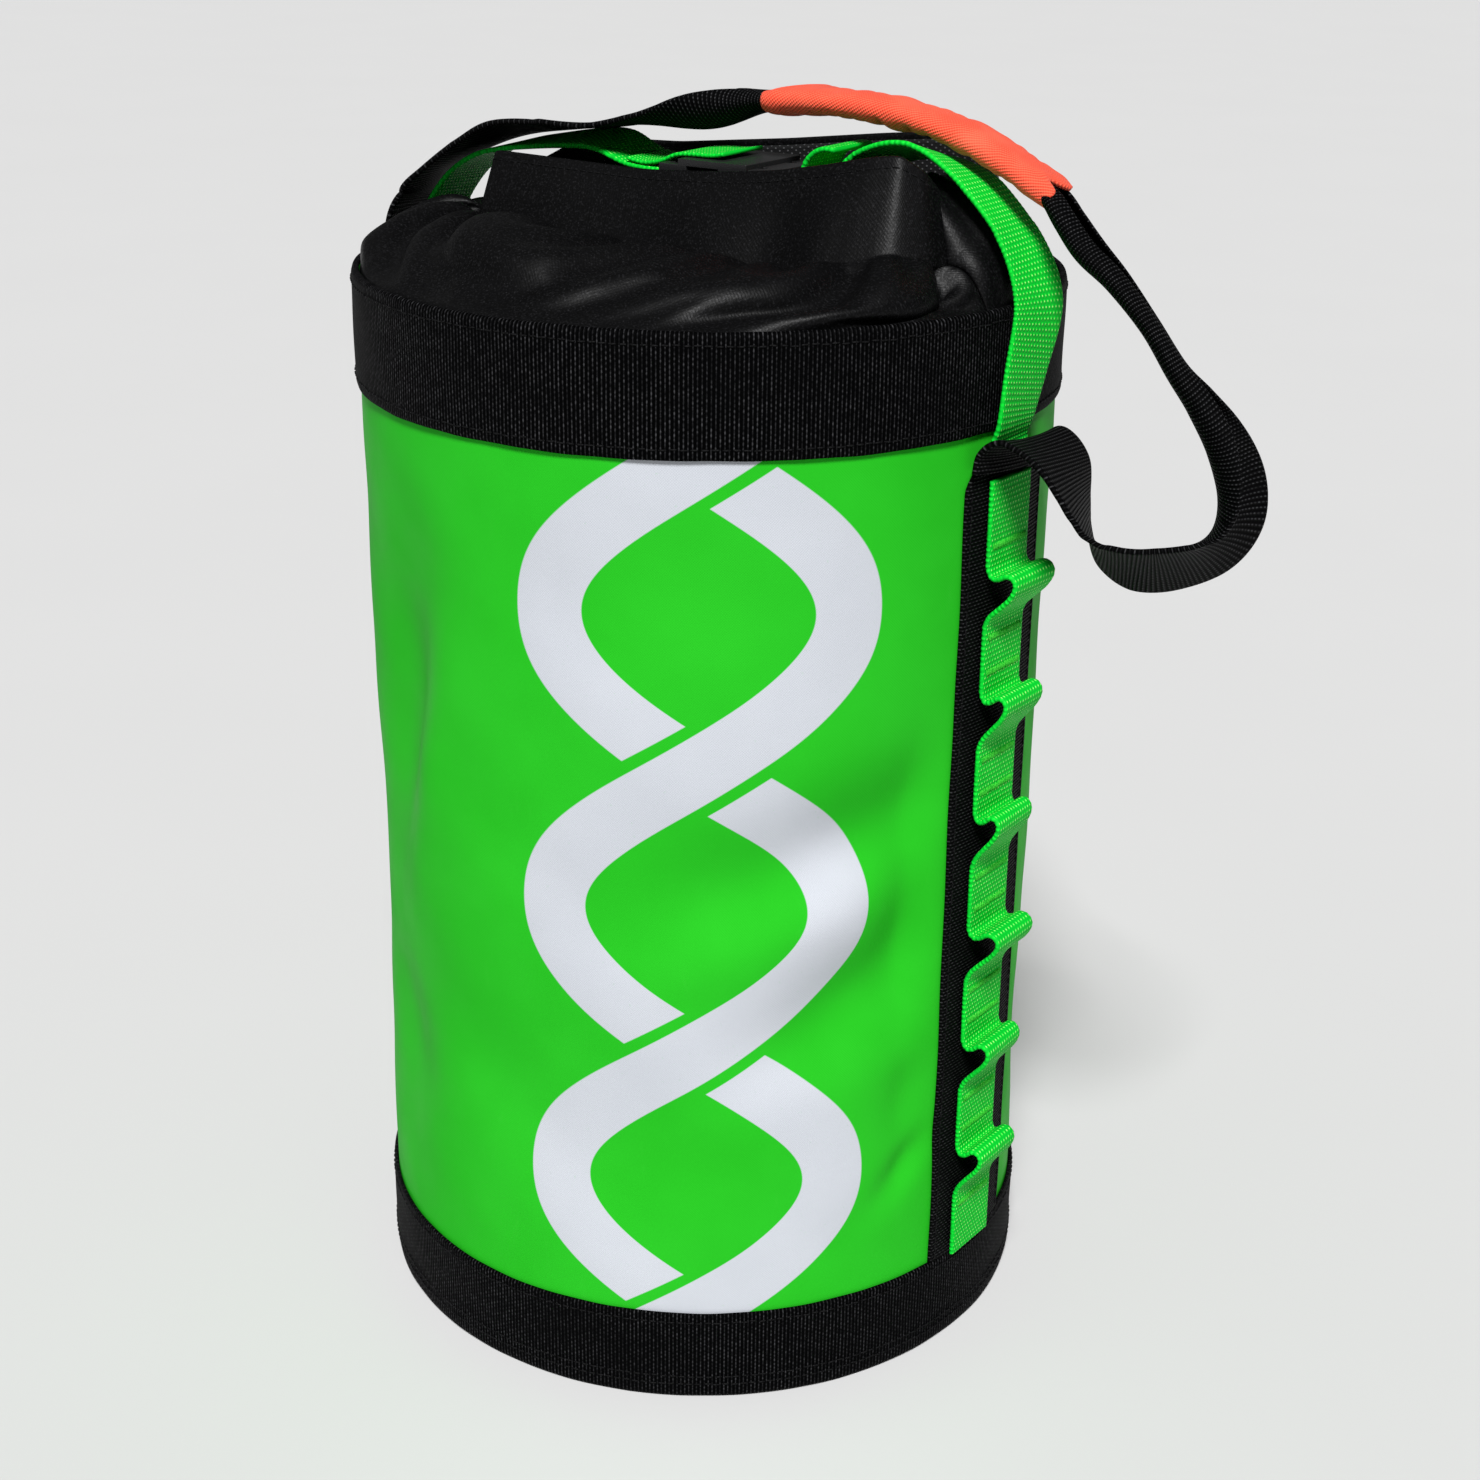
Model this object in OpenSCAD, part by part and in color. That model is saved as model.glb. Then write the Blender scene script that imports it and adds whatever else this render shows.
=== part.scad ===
// Stiff-walled round gear bag with a closing collar, a lifting strap and two
// chains of webbing loops. Millimetres, +Z up, origin at the middle of the base.
// The two lifting-strap sides lie on +X and -X; the front of the bag faces -Y.

/* [Bag body] */
// Outside diameter over the bands
body_d = 250; // [248:0.5:252]
// Height of the rim above the floor
body_h = 390; // [389:0.5:391]
// Thickness of the coated fabric wall
wall_t = 1.2; // [0.8:0.1:1.2]
// Thickness of the stiffening sheet inside the wall
liner_t = 1.5; // [1:0.1:1.6]
// Thickness of the woven bands
band_t = 1.7; // [1.2:0.1:1.7]
// Height of the band around the rim
top_band_h = 40; // [38:0.5:42]
// Height of the band around the base
bottom_band_h = 36; // [30:0.5:38]
// Thickness of the base disc
base_plate_t = 3; // [2:0.5:4]

/* [Webbing] */
// Width of the lifting strap and of the strips on the wall
lift_w = 50; // [46:1:50]
// Thickness of the lifting strap
lift_t = 2; // [1.5:0.1:2]
// Width of the narrow webbing of the loops and of the closing strap
web_w = 25; // [23:0.5:25]
// Thickness of the narrow webbing
web_t = 1.8; // [1.4:0.1:1.8]

/* [Loop chain] */
// Number of loops in each chain
loop_count = 6; // [4:1:6]
// Height of the topmost loop
loop_top_z = 303.5; // [300:0.5:304]
// Distance from one loop to the next
loop_pitch = 44.4; // [42:0.2:44.4]
// Turn of the right chain about the bag's axis, towards the front
chain_turn = 3; // [2:0.5:3]
// Turn of the right wall strip about the bag's axis, towards the front
strip_turn = 1.5; // [1:0.5:2]

/* [Grip] */
// Width of the sleeve on the lifting strap
grip_w = 24; // [22:1:26]
// Thickness of the sleeve
grip_t = 9.5; // [9:0.5:10]

/* [Buckle] */
// Width of the buckle's socket
buckle_w = 34; // [33:0.5:35]
// Thickness of the buckle's socket
buckle_t = 11; // [10.5:0.5:12]
// Height of the buckle's middle above the floor
buckle_z = 421; // [420.5:0.5:421.5]
// Distance of the buckle from the middle of the bag, to the right
buckle_x = 18; // [17:0.5:18]

/* [Hidden] */
$fn = 96;
R = body_d / 2;
band_r = R - band_t;             // inner face of the bands
wall_r = band_r - 0.05;          // outer face of the wall
wall_ri = wall_r - wall_t;
liner_r = wall_ri - 0.05;
liner_ri = liner_r - liner_t;
strip_t = 1.6;                   // strip of webbing on the wall
strip_top = 341;                 // where the lifting strap leaves the wall
strip_r = wall_r + 0.05 + strip_t;
chain_x = strip_r + 0.25 + web_t / 2;   // middle of the chain's webbing
strap_z0 = 341.5;                // lower end of the closing strap
hinge_y = 122.5;                 // fold lines of the two collar panels
hinge_z = 391.5;
pivot_z = 347;                   // axis of the lifting strap

// ---- paths of webbing, as points (x, z) in a side view ----

// one point of a smooth curve through four neighbours
function curve_at(a, b, c, d, t) =
    0.5 * (2 * b + (c - a) * t + (2 * a - 5 * b + 4 * c - d) * t * t
           + (3 * b - a - 3 * c + d) * t * t * t);
// smooth path through points p, n steps between neighbours
function smooth(p, n) = concat(
    [for (i = [0 : len(p) - 2]) for (k = [0 : n - 1])
        curve_at(p[max(i - 1, 0)], p[i], p[i + 1], p[min(i + 2, len(p) - 1)], k / n)],
    [p[len(p) - 1]]);
function unit(v) = v / norm(v);
function side(p, i) = let (d = unit(p[min(i + 1, len(p) - 1)] - p[max(i - 1, 0)]))
    [-d[1], d[0]];
// outline of a strip of thickness t along path p
function strip(p, t) = concat(
    [for (i = [0 : len(p) - 1]) p[i] + side(p, i) * t / 2],
    [for (i = [len(p) - 1 : -1 : 0]) p[i] - side(p, i) * t / 2]);
function flip(p) = [for (q = p) [-q[0], q[1]]];

// webbing of width w and thickness t along a side-view path
module webbing(p, w, t) {
    rotate([90, 0, 0]) linear_extrude(height = w, center = true) polygon(strip(p, t));
}

// closing strap, right side: up the band, over the folded collar, down to the buckle
right_strap = smooth([[124.4, strap_z0], [124.5, 346], [125.6, 349.5], [126.6, 354],
    [127.6, 370], [128.4, 384], [127.8, 392], [125, 401], [120, 410.5], [113, 419],
    [104, 427], [94, 432.2], [86, 434.2], [78, 434.2], [70, 432], [63, 428.4],
    [57, 424], [buckle_x + 33.4, buckle_z]], 4);
// closing strap, left side, lower under the lifting strap
left_strap = smooth([[-124.4, strap_z0], [-124.5, 346], [-125.6, 349.5], [-126.6, 354],
    [-127.4, 370], [-128, 384], [-126.5, 393], [-122, 402], [-114, 411], [-103, 418],
    [-91, 421.6], [-77, 424], [-63, 426], [-51, 427.2], [-43, 426.6], [-35, 424.6],
    [-27, 422.2], [-20, 421.2], [buckle_x - 28.4, buckle_z]], 4);
// free tail of the closing strap, out of the plug's ladder
tail = smooth([for (q = [[27, 419], [27, 424.4], [28.4, 429], [31.6, 432.2], [35.4, 433.6],
    [39.4, 433.4]]) q + [buckle_x, 0]], 4);

// lifting strap, all the way from the left strip to the right strip
lift_left = [[-126.9, 337], [-127.6, 342], [-129.8, 350], [-132.8, 362], [-135.2, 376],
    [-134.8, 390], [-129.8, 403], [-120, 414], [-106.5, 421.8], [-90, 426.6], [-66, 430.4],
    [-42, 434.2], [-14, 440], [10, 444]];
lift_grip = [[22, 445.6], [34, 446.4], [46, 446.6], [60, 446], [74, 444.6], [88, 441.8],
    [100, 438.2], [112, 433], [122, 428.2], [132, 422.8]];
lift_right = [[140, 417.4], [148, 410], [158, 397], [168, 385], [176, 372], [186, 356],
    [194, 339], [196, 323], [188, 312], [175, 307.4], [163, 309.2], [153, 318],
    [147.5, 331], [142, 342.5], [134.5, 347.6], [128.6, 345], [126.9, 337]];
lift_path = smooth(concat(lift_left, lift_grip, lift_right), 4);
grip_path = smooth(lift_grip, 4);

// one loop of the chain: drop from the flat, out to the crest and back to the wall
loop_shape = [[0, 4], [0.2, 0.4], [1.6, -1.9], [3.8, -1.5], [6.2, 0.3], [8.6, 0.5],
    [10.3, -1.2], [10.2, -4], [8.2, -7.6], [4.8, -11.6], [1.7, -15.6], [0.3, -19],
    [0, -22]];
chain_path = smooth(concat([[0, 334], [0, 322]],
    [for (i = [0 : loop_count - 1]) for (q = loop_shape) q + [0, loop_top_z - i * loop_pitch]],
    [[0, bottom_band_h + 8], [0, bottom_band_h + 0.4]]), 3);
function chain_right() = [for (q = chain_path) [chain_x + q[0], q[1]]];

// ---- body ----

// closed ring between two radii and two heights
module ring(ro, ri, z0, z1) {
    rotate_extrude() translate([ri, z0]) square([ro - ri, z1 - z0]);
}

module body_wall() {
    color([0.18, 0.74, 0.16]) ring(wall_r, wall_ri, 2.6, body_h - 1.5);
}

module wall_liner() {
    color([0.85, 0.85, 0.82]) ring(liner_r, liner_ri, 2.6, body_h - 14);
}

module base_plate() {
    color([0.12, 0.12, 0.12]) translate([0, 0, 2.6]) cylinder(r = liner_ri - 0.1, h = base_plate_t);
}

module base_cover() {
    color([0.06, 0.06, 0.06]) rotate_extrude()
        polygon([[0, 0], [wall_r - 3.5, 0], [wall_r - 1.2, 0.5], [wall_r - 0.1, 1.7],
                 [wall_r - 0.1, 2.5], [0, 2.5]]);
}

module bottom_band() {
    color([0.05, 0.05, 0.05]) rotate_extrude()
        polygon([[band_r, 0.6], [R - 0.4, 0.6], [R, 1.6], [R, bottom_band_h - 0.6],
                 [R - 0.6, bottom_band_h], [band_r, bottom_band_h]]);
}

module top_band() {
    color([0.05, 0.05, 0.05]) rotate_extrude()
        polygon([[band_r, body_h - top_band_h], [R - 0.6, body_h - top_band_h],
                 [R, body_h - top_band_h + 0.6], [R, body_h - 1.4], [R - 0.8, body_h],
                 [wall_ri, body_h], [wall_ri, body_h - 1.4], [band_r, body_h - 1.4]]);
}

module rim_hoop() {
    color([0.1, 0.1, 0.1]) rotate_extrude() translate([wall_ri - 3.1, body_h - 8])
        circle(r = 3, $fn = 32);
}

// ---- collar ----

function bend3(a, b, c, v) = (1 - v) * (1 - v) * a + 2 * v * (1 - v) * b + v * v * c;
// a panel of the collar, sewn to half of the rim and drawn in to a straight lip;
// the panel faces -Y, u runs along the rim and v from the rim to the lip
function panel_point(u, v, lip_x, lip_y, lip_z0, lip_z1, mid_y, mid_z) =
    let (a = -173 + 166 * u, s = -cos(180 * u),
         rim = [122 * cos(a), 122 * sin(a), body_h + 1.8],
         lip = [lip_x * s, lip_y, lip_z0 + (lip_z1 - lip_z0) * (s + 1) / 2],
         mid = [99 * s, lip_y * 0.75 + (mid_y - lip_y * 0.75) * pow(sin(180 * u), 1.2),
                mid_z + 2 * (1 - sin(180 * u))])
    bend3(rim, mid, lip, v);
module panel(lip_x, lip_y, lip_z0, lip_z1, mid_y, mid_z, nu = 30, nv = 8, t = 2.4) {
    top = [for (j = [0 : nv]) for (i = [0 : nu])
        panel_point(i / nu, j / nv, lip_x, lip_y, lip_z0, lip_z1, mid_y, mid_z)];
    m = nu + 1;
    n = m * (nv + 1);
    low = [for (p = top) p - [0, 0, j_drop(p, t)]];
    edge = concat([for (i = [0 : nu]) i], [for (j = [1 : nv]) j * m + nu],
                  [for (i = [nu - 1 : -1 : 0]) nv * m + i], [for (j = [nv - 1 : -1 : 1]) j * m]);
    ne = len(edge);
    polyhedron(points = concat(top, low), convexity = 6, faces = concat(
        [for (j = [0 : nv - 1]) for (i = [0 : nu - 1]) [j * m + i, (j + 1) * m + i + 1, j * m + i + 1]],
        [for (j = [0 : nv - 1]) for (i = [0 : nu - 1]) [j * m + i, (j + 1) * m + i, (j + 1) * m + i + 1]],
        [for (j = [0 : nv - 1]) for (i = [0 : nu - 1]) [n + j * m + i, n + j * m + i + 1, n + (j + 1) * m + i + 1]],
        [for (j = [0 : nv - 1]) for (i = [0 : nu - 1]) [n + j * m + i, n + (j + 1) * m + i + 1, n + (j + 1) * m + i]],
        [for (k = [0 : ne - 1]) [edge[k], edge[(k + 1) % ne], n + edge[k]]],
        [for (k = [0 : ne - 1]) [edge[(k + 1) % ne], n + edge[(k + 1) % ne], n + edge[k]]]));
}
// the panel is thinner where it is sewn to the rim
function j_drop(p, t) = min(t, 0.2 + (p[2] - body_h - 1.6) * 0.6);

module collar_front() {
    color([0.07, 0.07, 0.08]) panel(82, -23, 422, 431, -64, 408);
}

module collar_back() {
    color([0.07, 0.07, 0.08]) mirror([0, 1, 0]) panel(82, -40, 420, 433, -74, 408);
}

// folded end of the collar under the closing strap
module collar_end_right() {
    color([0.07, 0.07, 0.08]) webbing(smooth([[120.5, 393.2], [119.5, 402], [112, 413],
        [102, 421], [94, 425.2], [87, 427.2]], 3), web_w + 1, 2.4);
}

module collar_end_left() {
    color([0.07, 0.07, 0.08]) webbing(smooth([[-120.5, 393.2], [-117.6, 397], [-110, 399.6],
        [-100, 400.8], [-90, 402.4], [-80, 405.4], [-70, 409.6], [-62, 413]], 3), web_w + 1, 2.4);
}

module hook_tape() {
    color([0.1, 0.1, 0.1]) translate([-60, -22.7, 404]) cube([120, 1.5, 16]);
}

module loop_tape() {
    color([0.13, 0.13, 0.13]) translate([-50, 38.2, 404]) cube([110, 1.5, 16]);
}

// ---- webbing ----

// strip of wide webbing that follows the wall
module wall_strip() {
    half = asin(lift_w / 2 / wall_r);
    rotate([0, 0, -half]) rotate_extrude(angle = 2 * half)
        translate([wall_r + 0.05, bottom_band_h + 0.1])
        square([strip_t, strip_top - bottom_band_h - 0.1]);
}

module wall_webbing_right() { color([0.06, 0.06, 0.06]) rotate([0, 0, -strip_turn]) wall_strip(); }
module wall_webbing_left() { color([0.06, 0.06, 0.06]) mirror([1, 0, 0]) wall_strip(); }

module loop_chain_right() {
    color([0.02, 0.85, 0.2]) rotate([0, 0, -chain_turn]) webbing(chain_right(), web_w, web_t);
}
module loop_chain_left() { color([0.02, 0.85, 0.2]) webbing(flip(chain_right()), web_w, web_t); }

// pairs of dense stitch bars above and below each loop
module tacks() {
    for (i = [0 : loop_count - 1]) for (dz = [7, -25])
        translate([chain_x + web_t / 2 + 0.02, -web_w / 2 + 2, loop_top_z - i * loop_pitch + dz])
            cube([0.4, web_w - 4, 2]);
}

module bar_tacks_right() { color([0.1, 0.75, 0.2]) rotate([0, 0, -chain_turn]) tacks(); }
module bar_tacks_left() { color([0.1, 0.75, 0.2]) mirror([1, 0, 0]) tacks(); }

module closing_strap_right() { color([0.02, 0.85, 0.2]) webbing(right_strap, web_w, web_t); }
module closing_strap_left() { color([0.02, 0.85, 0.2]) webbing(left_strap, web_w, web_t); }
module strap_tail() { color([0.02, 0.85, 0.2]) webbing(tail, web_w, web_t); }

// ---- buckle: socket on the left strap, plug with two prongs on the right ----

module buckle_socket() {
    color([0.04, 0.04, 0.04]) translate([buckle_x, 0, buckle_z]) difference() {
        union() {
            translate([-20, -buckle_w / 2, -buckle_t / 2]) cube([28, buckle_w, buckle_t]);
            translate([-28, -buckle_w / 2, -3.5]) cube([8.2, buckle_w, 7]);
        }
        // cavity for the plug, open to the right
        translate([-17, -13.5, -3.2]) cube([26, 27, 6.4]);
        // side windows for the prongs
        translate([-16.5, -buckle_w / 2 - 1, -3.2]) cube([13, buckle_w + 2, 6.4]);
        // slot for the webbing
        translate([-25, -13, -6]) cube([3.6, 26, 12]);
    }
}

module buckle_plug() {
    color([0.04, 0.04, 0.04]) translate([buckle_x, 0, buckle_z]) difference() {
        union() {
            translate([8.4, -16.5, -4]) cube([24.6, 33, 8]);
            // guide tongue between the prongs
            translate([-13, -3, -2.4]) cube([21.6, 6, 4.8]);
        }
        // ladder slots for the webbing
        for (x = [17, 25]) translate([x, -13, -5]) cube([4, 26, 10]);
        // round seats of the prongs
        for (s = [-1, 1]) translate([9, 9 * s, -5]) cylinder(r = 2.1, h = 10, $fn = 48);
    }
}

// flexible prong with a barb that shows in the socket's window
module prong() {
    translate([buckle_x, 0, buckle_z]) union() {
        translate([9, 9, -2.4]) cylinder(r = 2, h = 4.8, $fn = 48);
        translate([0, 0, -2.4]) linear_extrude(height = 4.8)
            polygon([[8.4, 7.4], [8.2, 10.4], [-3.6, 11.2], [-4, 16], [-8, 16.2], [-14.6, 13],
                     [-15, 9.6], [-4, 8.2]]);
    }
}

module buckle_prong_back() { color([0.04, 0.04, 0.04]) prong(); }
module buckle_prong_front() { color([0.04, 0.04, 0.04]) mirror([0, 1, 0]) prong(); }

// ---- lifting strap ----

// the strap leans back a little over the closed collar
module leaning() {
    translate([0, 0, pivot_z]) rotate([-5, 0, 0]) translate([0, 0, -pivot_z]) children();
}

module lift_strap() {
    color([0.06, 0.06, 0.06]) leaning() difference() {
        webbing(lift_path, lift_w, lift_t);
        // folded narrow where it runs through the sleeve
        for (s = [-1, 1]) translate([50, s * 60, 440]) cube([172, 100.8, 100], center = true);
    }
}

module grip_sleeve() {
    color([1, 0.42, 0.3]) leaning() difference() {
        webbing(grip_path, grip_w, grip_t);
        webbing(grip_path, grip_w - 3, lift_t + 0.8);
    }
}

body_wall();
wall_liner();
base_plate();
base_cover();
bottom_band();
top_band();
rim_hoop();
collar_front();
collar_back();
collar_end_right();
collar_end_left();
hook_tape();
loop_tape();
wall_webbing_right();
wall_webbing_left();
loop_chain_right();
loop_chain_left();
bar_tacks_right();
bar_tacks_left();
closing_strap_right();
closing_strap_left();
strap_tail();
buckle_socket();
buckle_plug();
buckle_prong_front();
buckle_prong_back();
lift_strap();
grip_sleeve();
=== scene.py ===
import bpy
import bmesh
import math
import numpy as np
from mathutils import Matrix, Vector


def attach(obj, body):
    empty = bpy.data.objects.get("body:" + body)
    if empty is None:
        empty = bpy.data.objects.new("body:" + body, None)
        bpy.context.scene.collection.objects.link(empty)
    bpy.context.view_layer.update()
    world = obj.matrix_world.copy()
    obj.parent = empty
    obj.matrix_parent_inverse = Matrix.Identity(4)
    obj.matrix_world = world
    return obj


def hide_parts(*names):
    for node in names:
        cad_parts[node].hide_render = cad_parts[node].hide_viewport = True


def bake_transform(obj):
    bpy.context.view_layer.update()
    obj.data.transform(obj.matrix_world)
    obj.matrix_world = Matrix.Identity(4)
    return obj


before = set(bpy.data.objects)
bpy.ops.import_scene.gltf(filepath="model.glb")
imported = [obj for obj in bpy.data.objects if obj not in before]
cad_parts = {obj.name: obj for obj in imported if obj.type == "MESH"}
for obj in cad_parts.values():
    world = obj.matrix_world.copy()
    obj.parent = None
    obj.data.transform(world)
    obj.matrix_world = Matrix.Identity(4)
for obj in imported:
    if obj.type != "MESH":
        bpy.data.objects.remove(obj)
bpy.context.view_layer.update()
scene = bpy.context.scene
MM = 0.001
rng = np.random.default_rng(11)

# ---------------------------------------------------------------- camera

F_PX, DIST, CAM_Z = 2330.967, 824.693, 536.147
PITCH, ROLL, YAW, AZ = 0.378469, 0.0125219, 0.0153775, math.radians(34.5)


def make_camera():
    ca, sa = math.cos(AZ), math.sin(AZ)
    turn = np.array([[ca, sa, 0], [-sa, ca, 0], [0, 0, 1]])
    fwd = np.array([math.sin(YAW) * math.cos(PITCH), math.cos(YAW) * math.cos(PITCH), -math.sin(PITCH)])
    right = np.array([math.cos(YAW), -math.sin(YAW), 0])
    up = np.cross(right, fwd)
    r2 = math.cos(ROLL) * right + math.sin(ROLL) * up
    u2 = -math.sin(ROLL) * right + math.cos(ROLL) * up
    pos = turn.T @ np.array([0, -DIST, CAM_Z]) * MM
    f, r, u = turn.T @ fwd, turn.T @ r2, turn.T @ u2
    data = bpy.data.cameras.new("camera")
    data.sensor_fit, data.sensor_width = "HORIZONTAL", 36.0
    data.lens = F_PX * 36.0 / 1480.0
    data.clip_start, data.clip_end = 0.01, 50.0
    cam = bpy.data.objects.new("camera", data)
    scene.collection.objects.link(cam)
    m = Matrix.Identity(4)
    for i in range(3):
        m[i][0], m[i][1], m[i][2], m[i][3] = r[i], u[i], -f[i], pos[i]
    cam.matrix_world = m
    scene.camera = cam
    return pos, f, r


cam_pos, cam_fwd, cam_right = make_camera()

# ---------------------------------------------------------------- materials


class Mat:
    """A small helper for procedural materials; patterns run on UVs in millimetres / 100."""

    def __init__(self, name):
        self.mat = bpy.data.materials.new(name)
        self.mat.use_nodes = True
        self.nt = self.mat.node_tree
        self.bsdf = self.nt.nodes["Principled BSDF"]
        self.co = self.nt.nodes.new("ShaderNodeTexCoord")
        self._uv = None

    def set(self, **kw):
        for k, v in kw.items():
            s = self.bsdf.inputs[k.replace("_", " ")]
            if isinstance(v, bpy.types.NodeSocket):
                self.nt.links.new(v, s)
            else:
                s.default_value = v
        return self

    def node(self, kind, **props):
        n = self.nt.nodes.new(kind)
        for k, v in props.items():
            setattr(n, k, v)
        return n

    def put(self, sock, v):
        if isinstance(v, bpy.types.NodeSocket):
            self.nt.links.new(v, sock)
        else:
            sock.default_value = v

    def math(self, op, a, b=None, c=None, clamp=False):
        n = self.node("ShaderNodeMath", operation=op, use_clamp=clamp)
        for i, x in enumerate((a, b, c)):
            if x is not None:
                self.put(n.inputs[i], x)
        return n.outputs[0]

    def uv(self):
        if self._uv is None:
            m = self.node("ShaderNodeUVMap", uv_map="UVMap")
            s = self.node("ShaderNodeSeparateXYZ")
            self.nt.links.new(m.outputs[0], s.inputs[0])
            self._uv = self.math("MULTIPLY", s.outputs[0], 100.0), self.math("MULTIPLY", s.outputs[1], 100.0)
        return self._uv

    def wave(self, x, period, phase=0.0):
        return self.math("SINE", self.math("MULTIPLY_ADD", x, 2 * math.pi / period, phase))

    def noise(self, size_mm, detail=3.0, rough=0.55, uv=False, stretch=None, distortion=0.0):
        n = self.node("ShaderNodeTexNoise")
        n.inputs["Scale"].default_value = 1000.0 / size_mm
        n.inputs["Detail"].default_value = detail
        n.inputs["Roughness"].default_value = rough
        n.inputs["Distortion"].default_value = distortion
        src = self.co.outputs["Object"]
        if stretch:
            m = self.node("ShaderNodeMapping")
            m.inputs["Scale"].default_value = stretch
            self.nt.links.new(src, m.inputs[0])
            src = m.outputs[0]
        self.nt.links.new(src, n.inputs["Vector"])
        return n.outputs[0]

    def ramp(self, x, lo, hi, a=0.0, b=1.0, smooth=True):
        n = self.node("ShaderNodeMapRange", interpolation_type="SMOOTHSTEP" if smooth else "LINEAR")
        self.put(n.inputs["Value"], x)
        n.inputs["From Min"].default_value = lo
        n.inputs["From Max"].default_value = hi
        n.inputs["To Min"].default_value = a
        n.inputs["To Max"].default_value = b
        return n.outputs[0]

    def mix(self, fac, a, b, blend="MIX"):
        n = self.node("ShaderNodeMix", data_type="RGBA", blend_type=blend)
        self.put(n.inputs[0], fac)
        for i, x in ((6, a), (7, b)):
            if isinstance(x, bpy.types.NodeSocket):
                self.nt.links.new(x, n.inputs[i])
            else:
                n.inputs[i].default_value = (*x, 1.0) if len(x) == 3 else x
        return n.outputs[2]

    def bump(self, height, distance_mm, strength=1.0):
        n = self.node("ShaderNodeBump")
        n.inputs["Strength"].default_value = strength
        n.inputs["Distance"].default_value = distance_mm * MM
        self.nt.links.new(height, n.inputs["Height"])
        self.nt.links.new(n.outputs[0], self.bsdf.inputs["Normal"])
        return n.outputs[0]


PRINT_AZ = -57.0
WALL_R = 123.25


def mat_wall():
    m = Mat("green_coated_fabric")
    u, v = m.uv()
    # braid of two strands in white, drawn from the lower band to the upper one
    du = m.math("SUBTRACT", u, math.radians(PRINT_AZ) * WALL_R)
    lobe, amp, half, gap = 104.8, 50.0, 11.5, 4.5
    k = math.pi / lobe
    ph = m.math("MULTIPLY", m.math("SUBTRACT", v, 36.0), k)
    s = m.math("SINE", ph)
    c = m.math("COSINE", ph)
    slope = m.math("MULTIPLY", c, amp * k)
    norm = m.math("SQRT", m.math("MULTIPLY_ADD", slope, slope, 1.0))
    off = m.math("MULTIPLY", s, amp)
    d1 = m.math("DIVIDE", m.math("ABSOLUTE", m.math("SUBTRACT", du, off)), norm)
    d2 = m.math("DIVIDE", m.math("ABSOLUTE", m.math("ADD", du, off)), norm)
    sel = m.math("GREATER_THAN", c, 0.0)
    inv = m.math("SUBTRACT", 1.0, sel)
    top = m.math("ADD", m.math("MULTIPLY", d1, sel), m.math("MULTIPLY", d2, inv))
    low = m.math("ADD", m.math("MULTIPLY", d2, sel), m.math("MULTIPLY", d1, inv))
    on_top = m.ramp(top, half + 0.25, half - 0.25)
    on_low = m.math("MULTIPLY", m.ramp(low, half + 0.25, half - 0.25),
                    m.ramp(top, half + gap - 0.25, half + gap + 0.25))
    mask = m.math("MAXIMUM", on_top, on_low)
    worn = m.ramp(m.noise(1.4, 4, 0.7), 0.30, 0.36, 0.86, 1.0)
    mask = m.math("MULTIPLY", mask, worn)
    # coated cloth: faint weave under the coat, slight scuffs and cloudy tone
    cloud = m.noise(60, 3)
    green = m.mix(m.ramp(cloud, 0.3, 0.7), (0.0155, 0.395, 0.0122), (0.019, 0.43, 0.0155))
    scuff = m.ramp(m.noise(9, 6, 0.72, stretch=(1, 1, 0.25)), 0.60, 0.78, 0.0, 0.16)
    green = m.mix(scuff, green, (0.05, 0.52, 0.042))
    white = m.mix(m.ramp(cloud, 0.3, 0.7), (0.455, 0.475, 0.515), (0.485, 0.505, 0.545))
    m.set(Base_Color=m.mix(mask, green, white), Specular_IOR_Level=0.03)
    m.set(Roughness=m.math("ADD", m.ramp(m.noise(25, 4), 0.3, 0.7, 0.44, 0.54),
                           m.math("MULTIPLY", mask, 0.06)))
    weave = m.math("MULTIPLY", m.wave(u, 0.9), m.wave(v, 0.9))
    h = m.math("ADD", m.math("MULTIPLY", weave, 0.10), m.math("MULTIPLY", m.noise(14, 4), 0.55))
    h = m.math("ADD", h, m.math("MULTIPLY", mask, 0.12))
    m.bump(h, 0.35, 0.55)
    return m.mat


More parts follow.
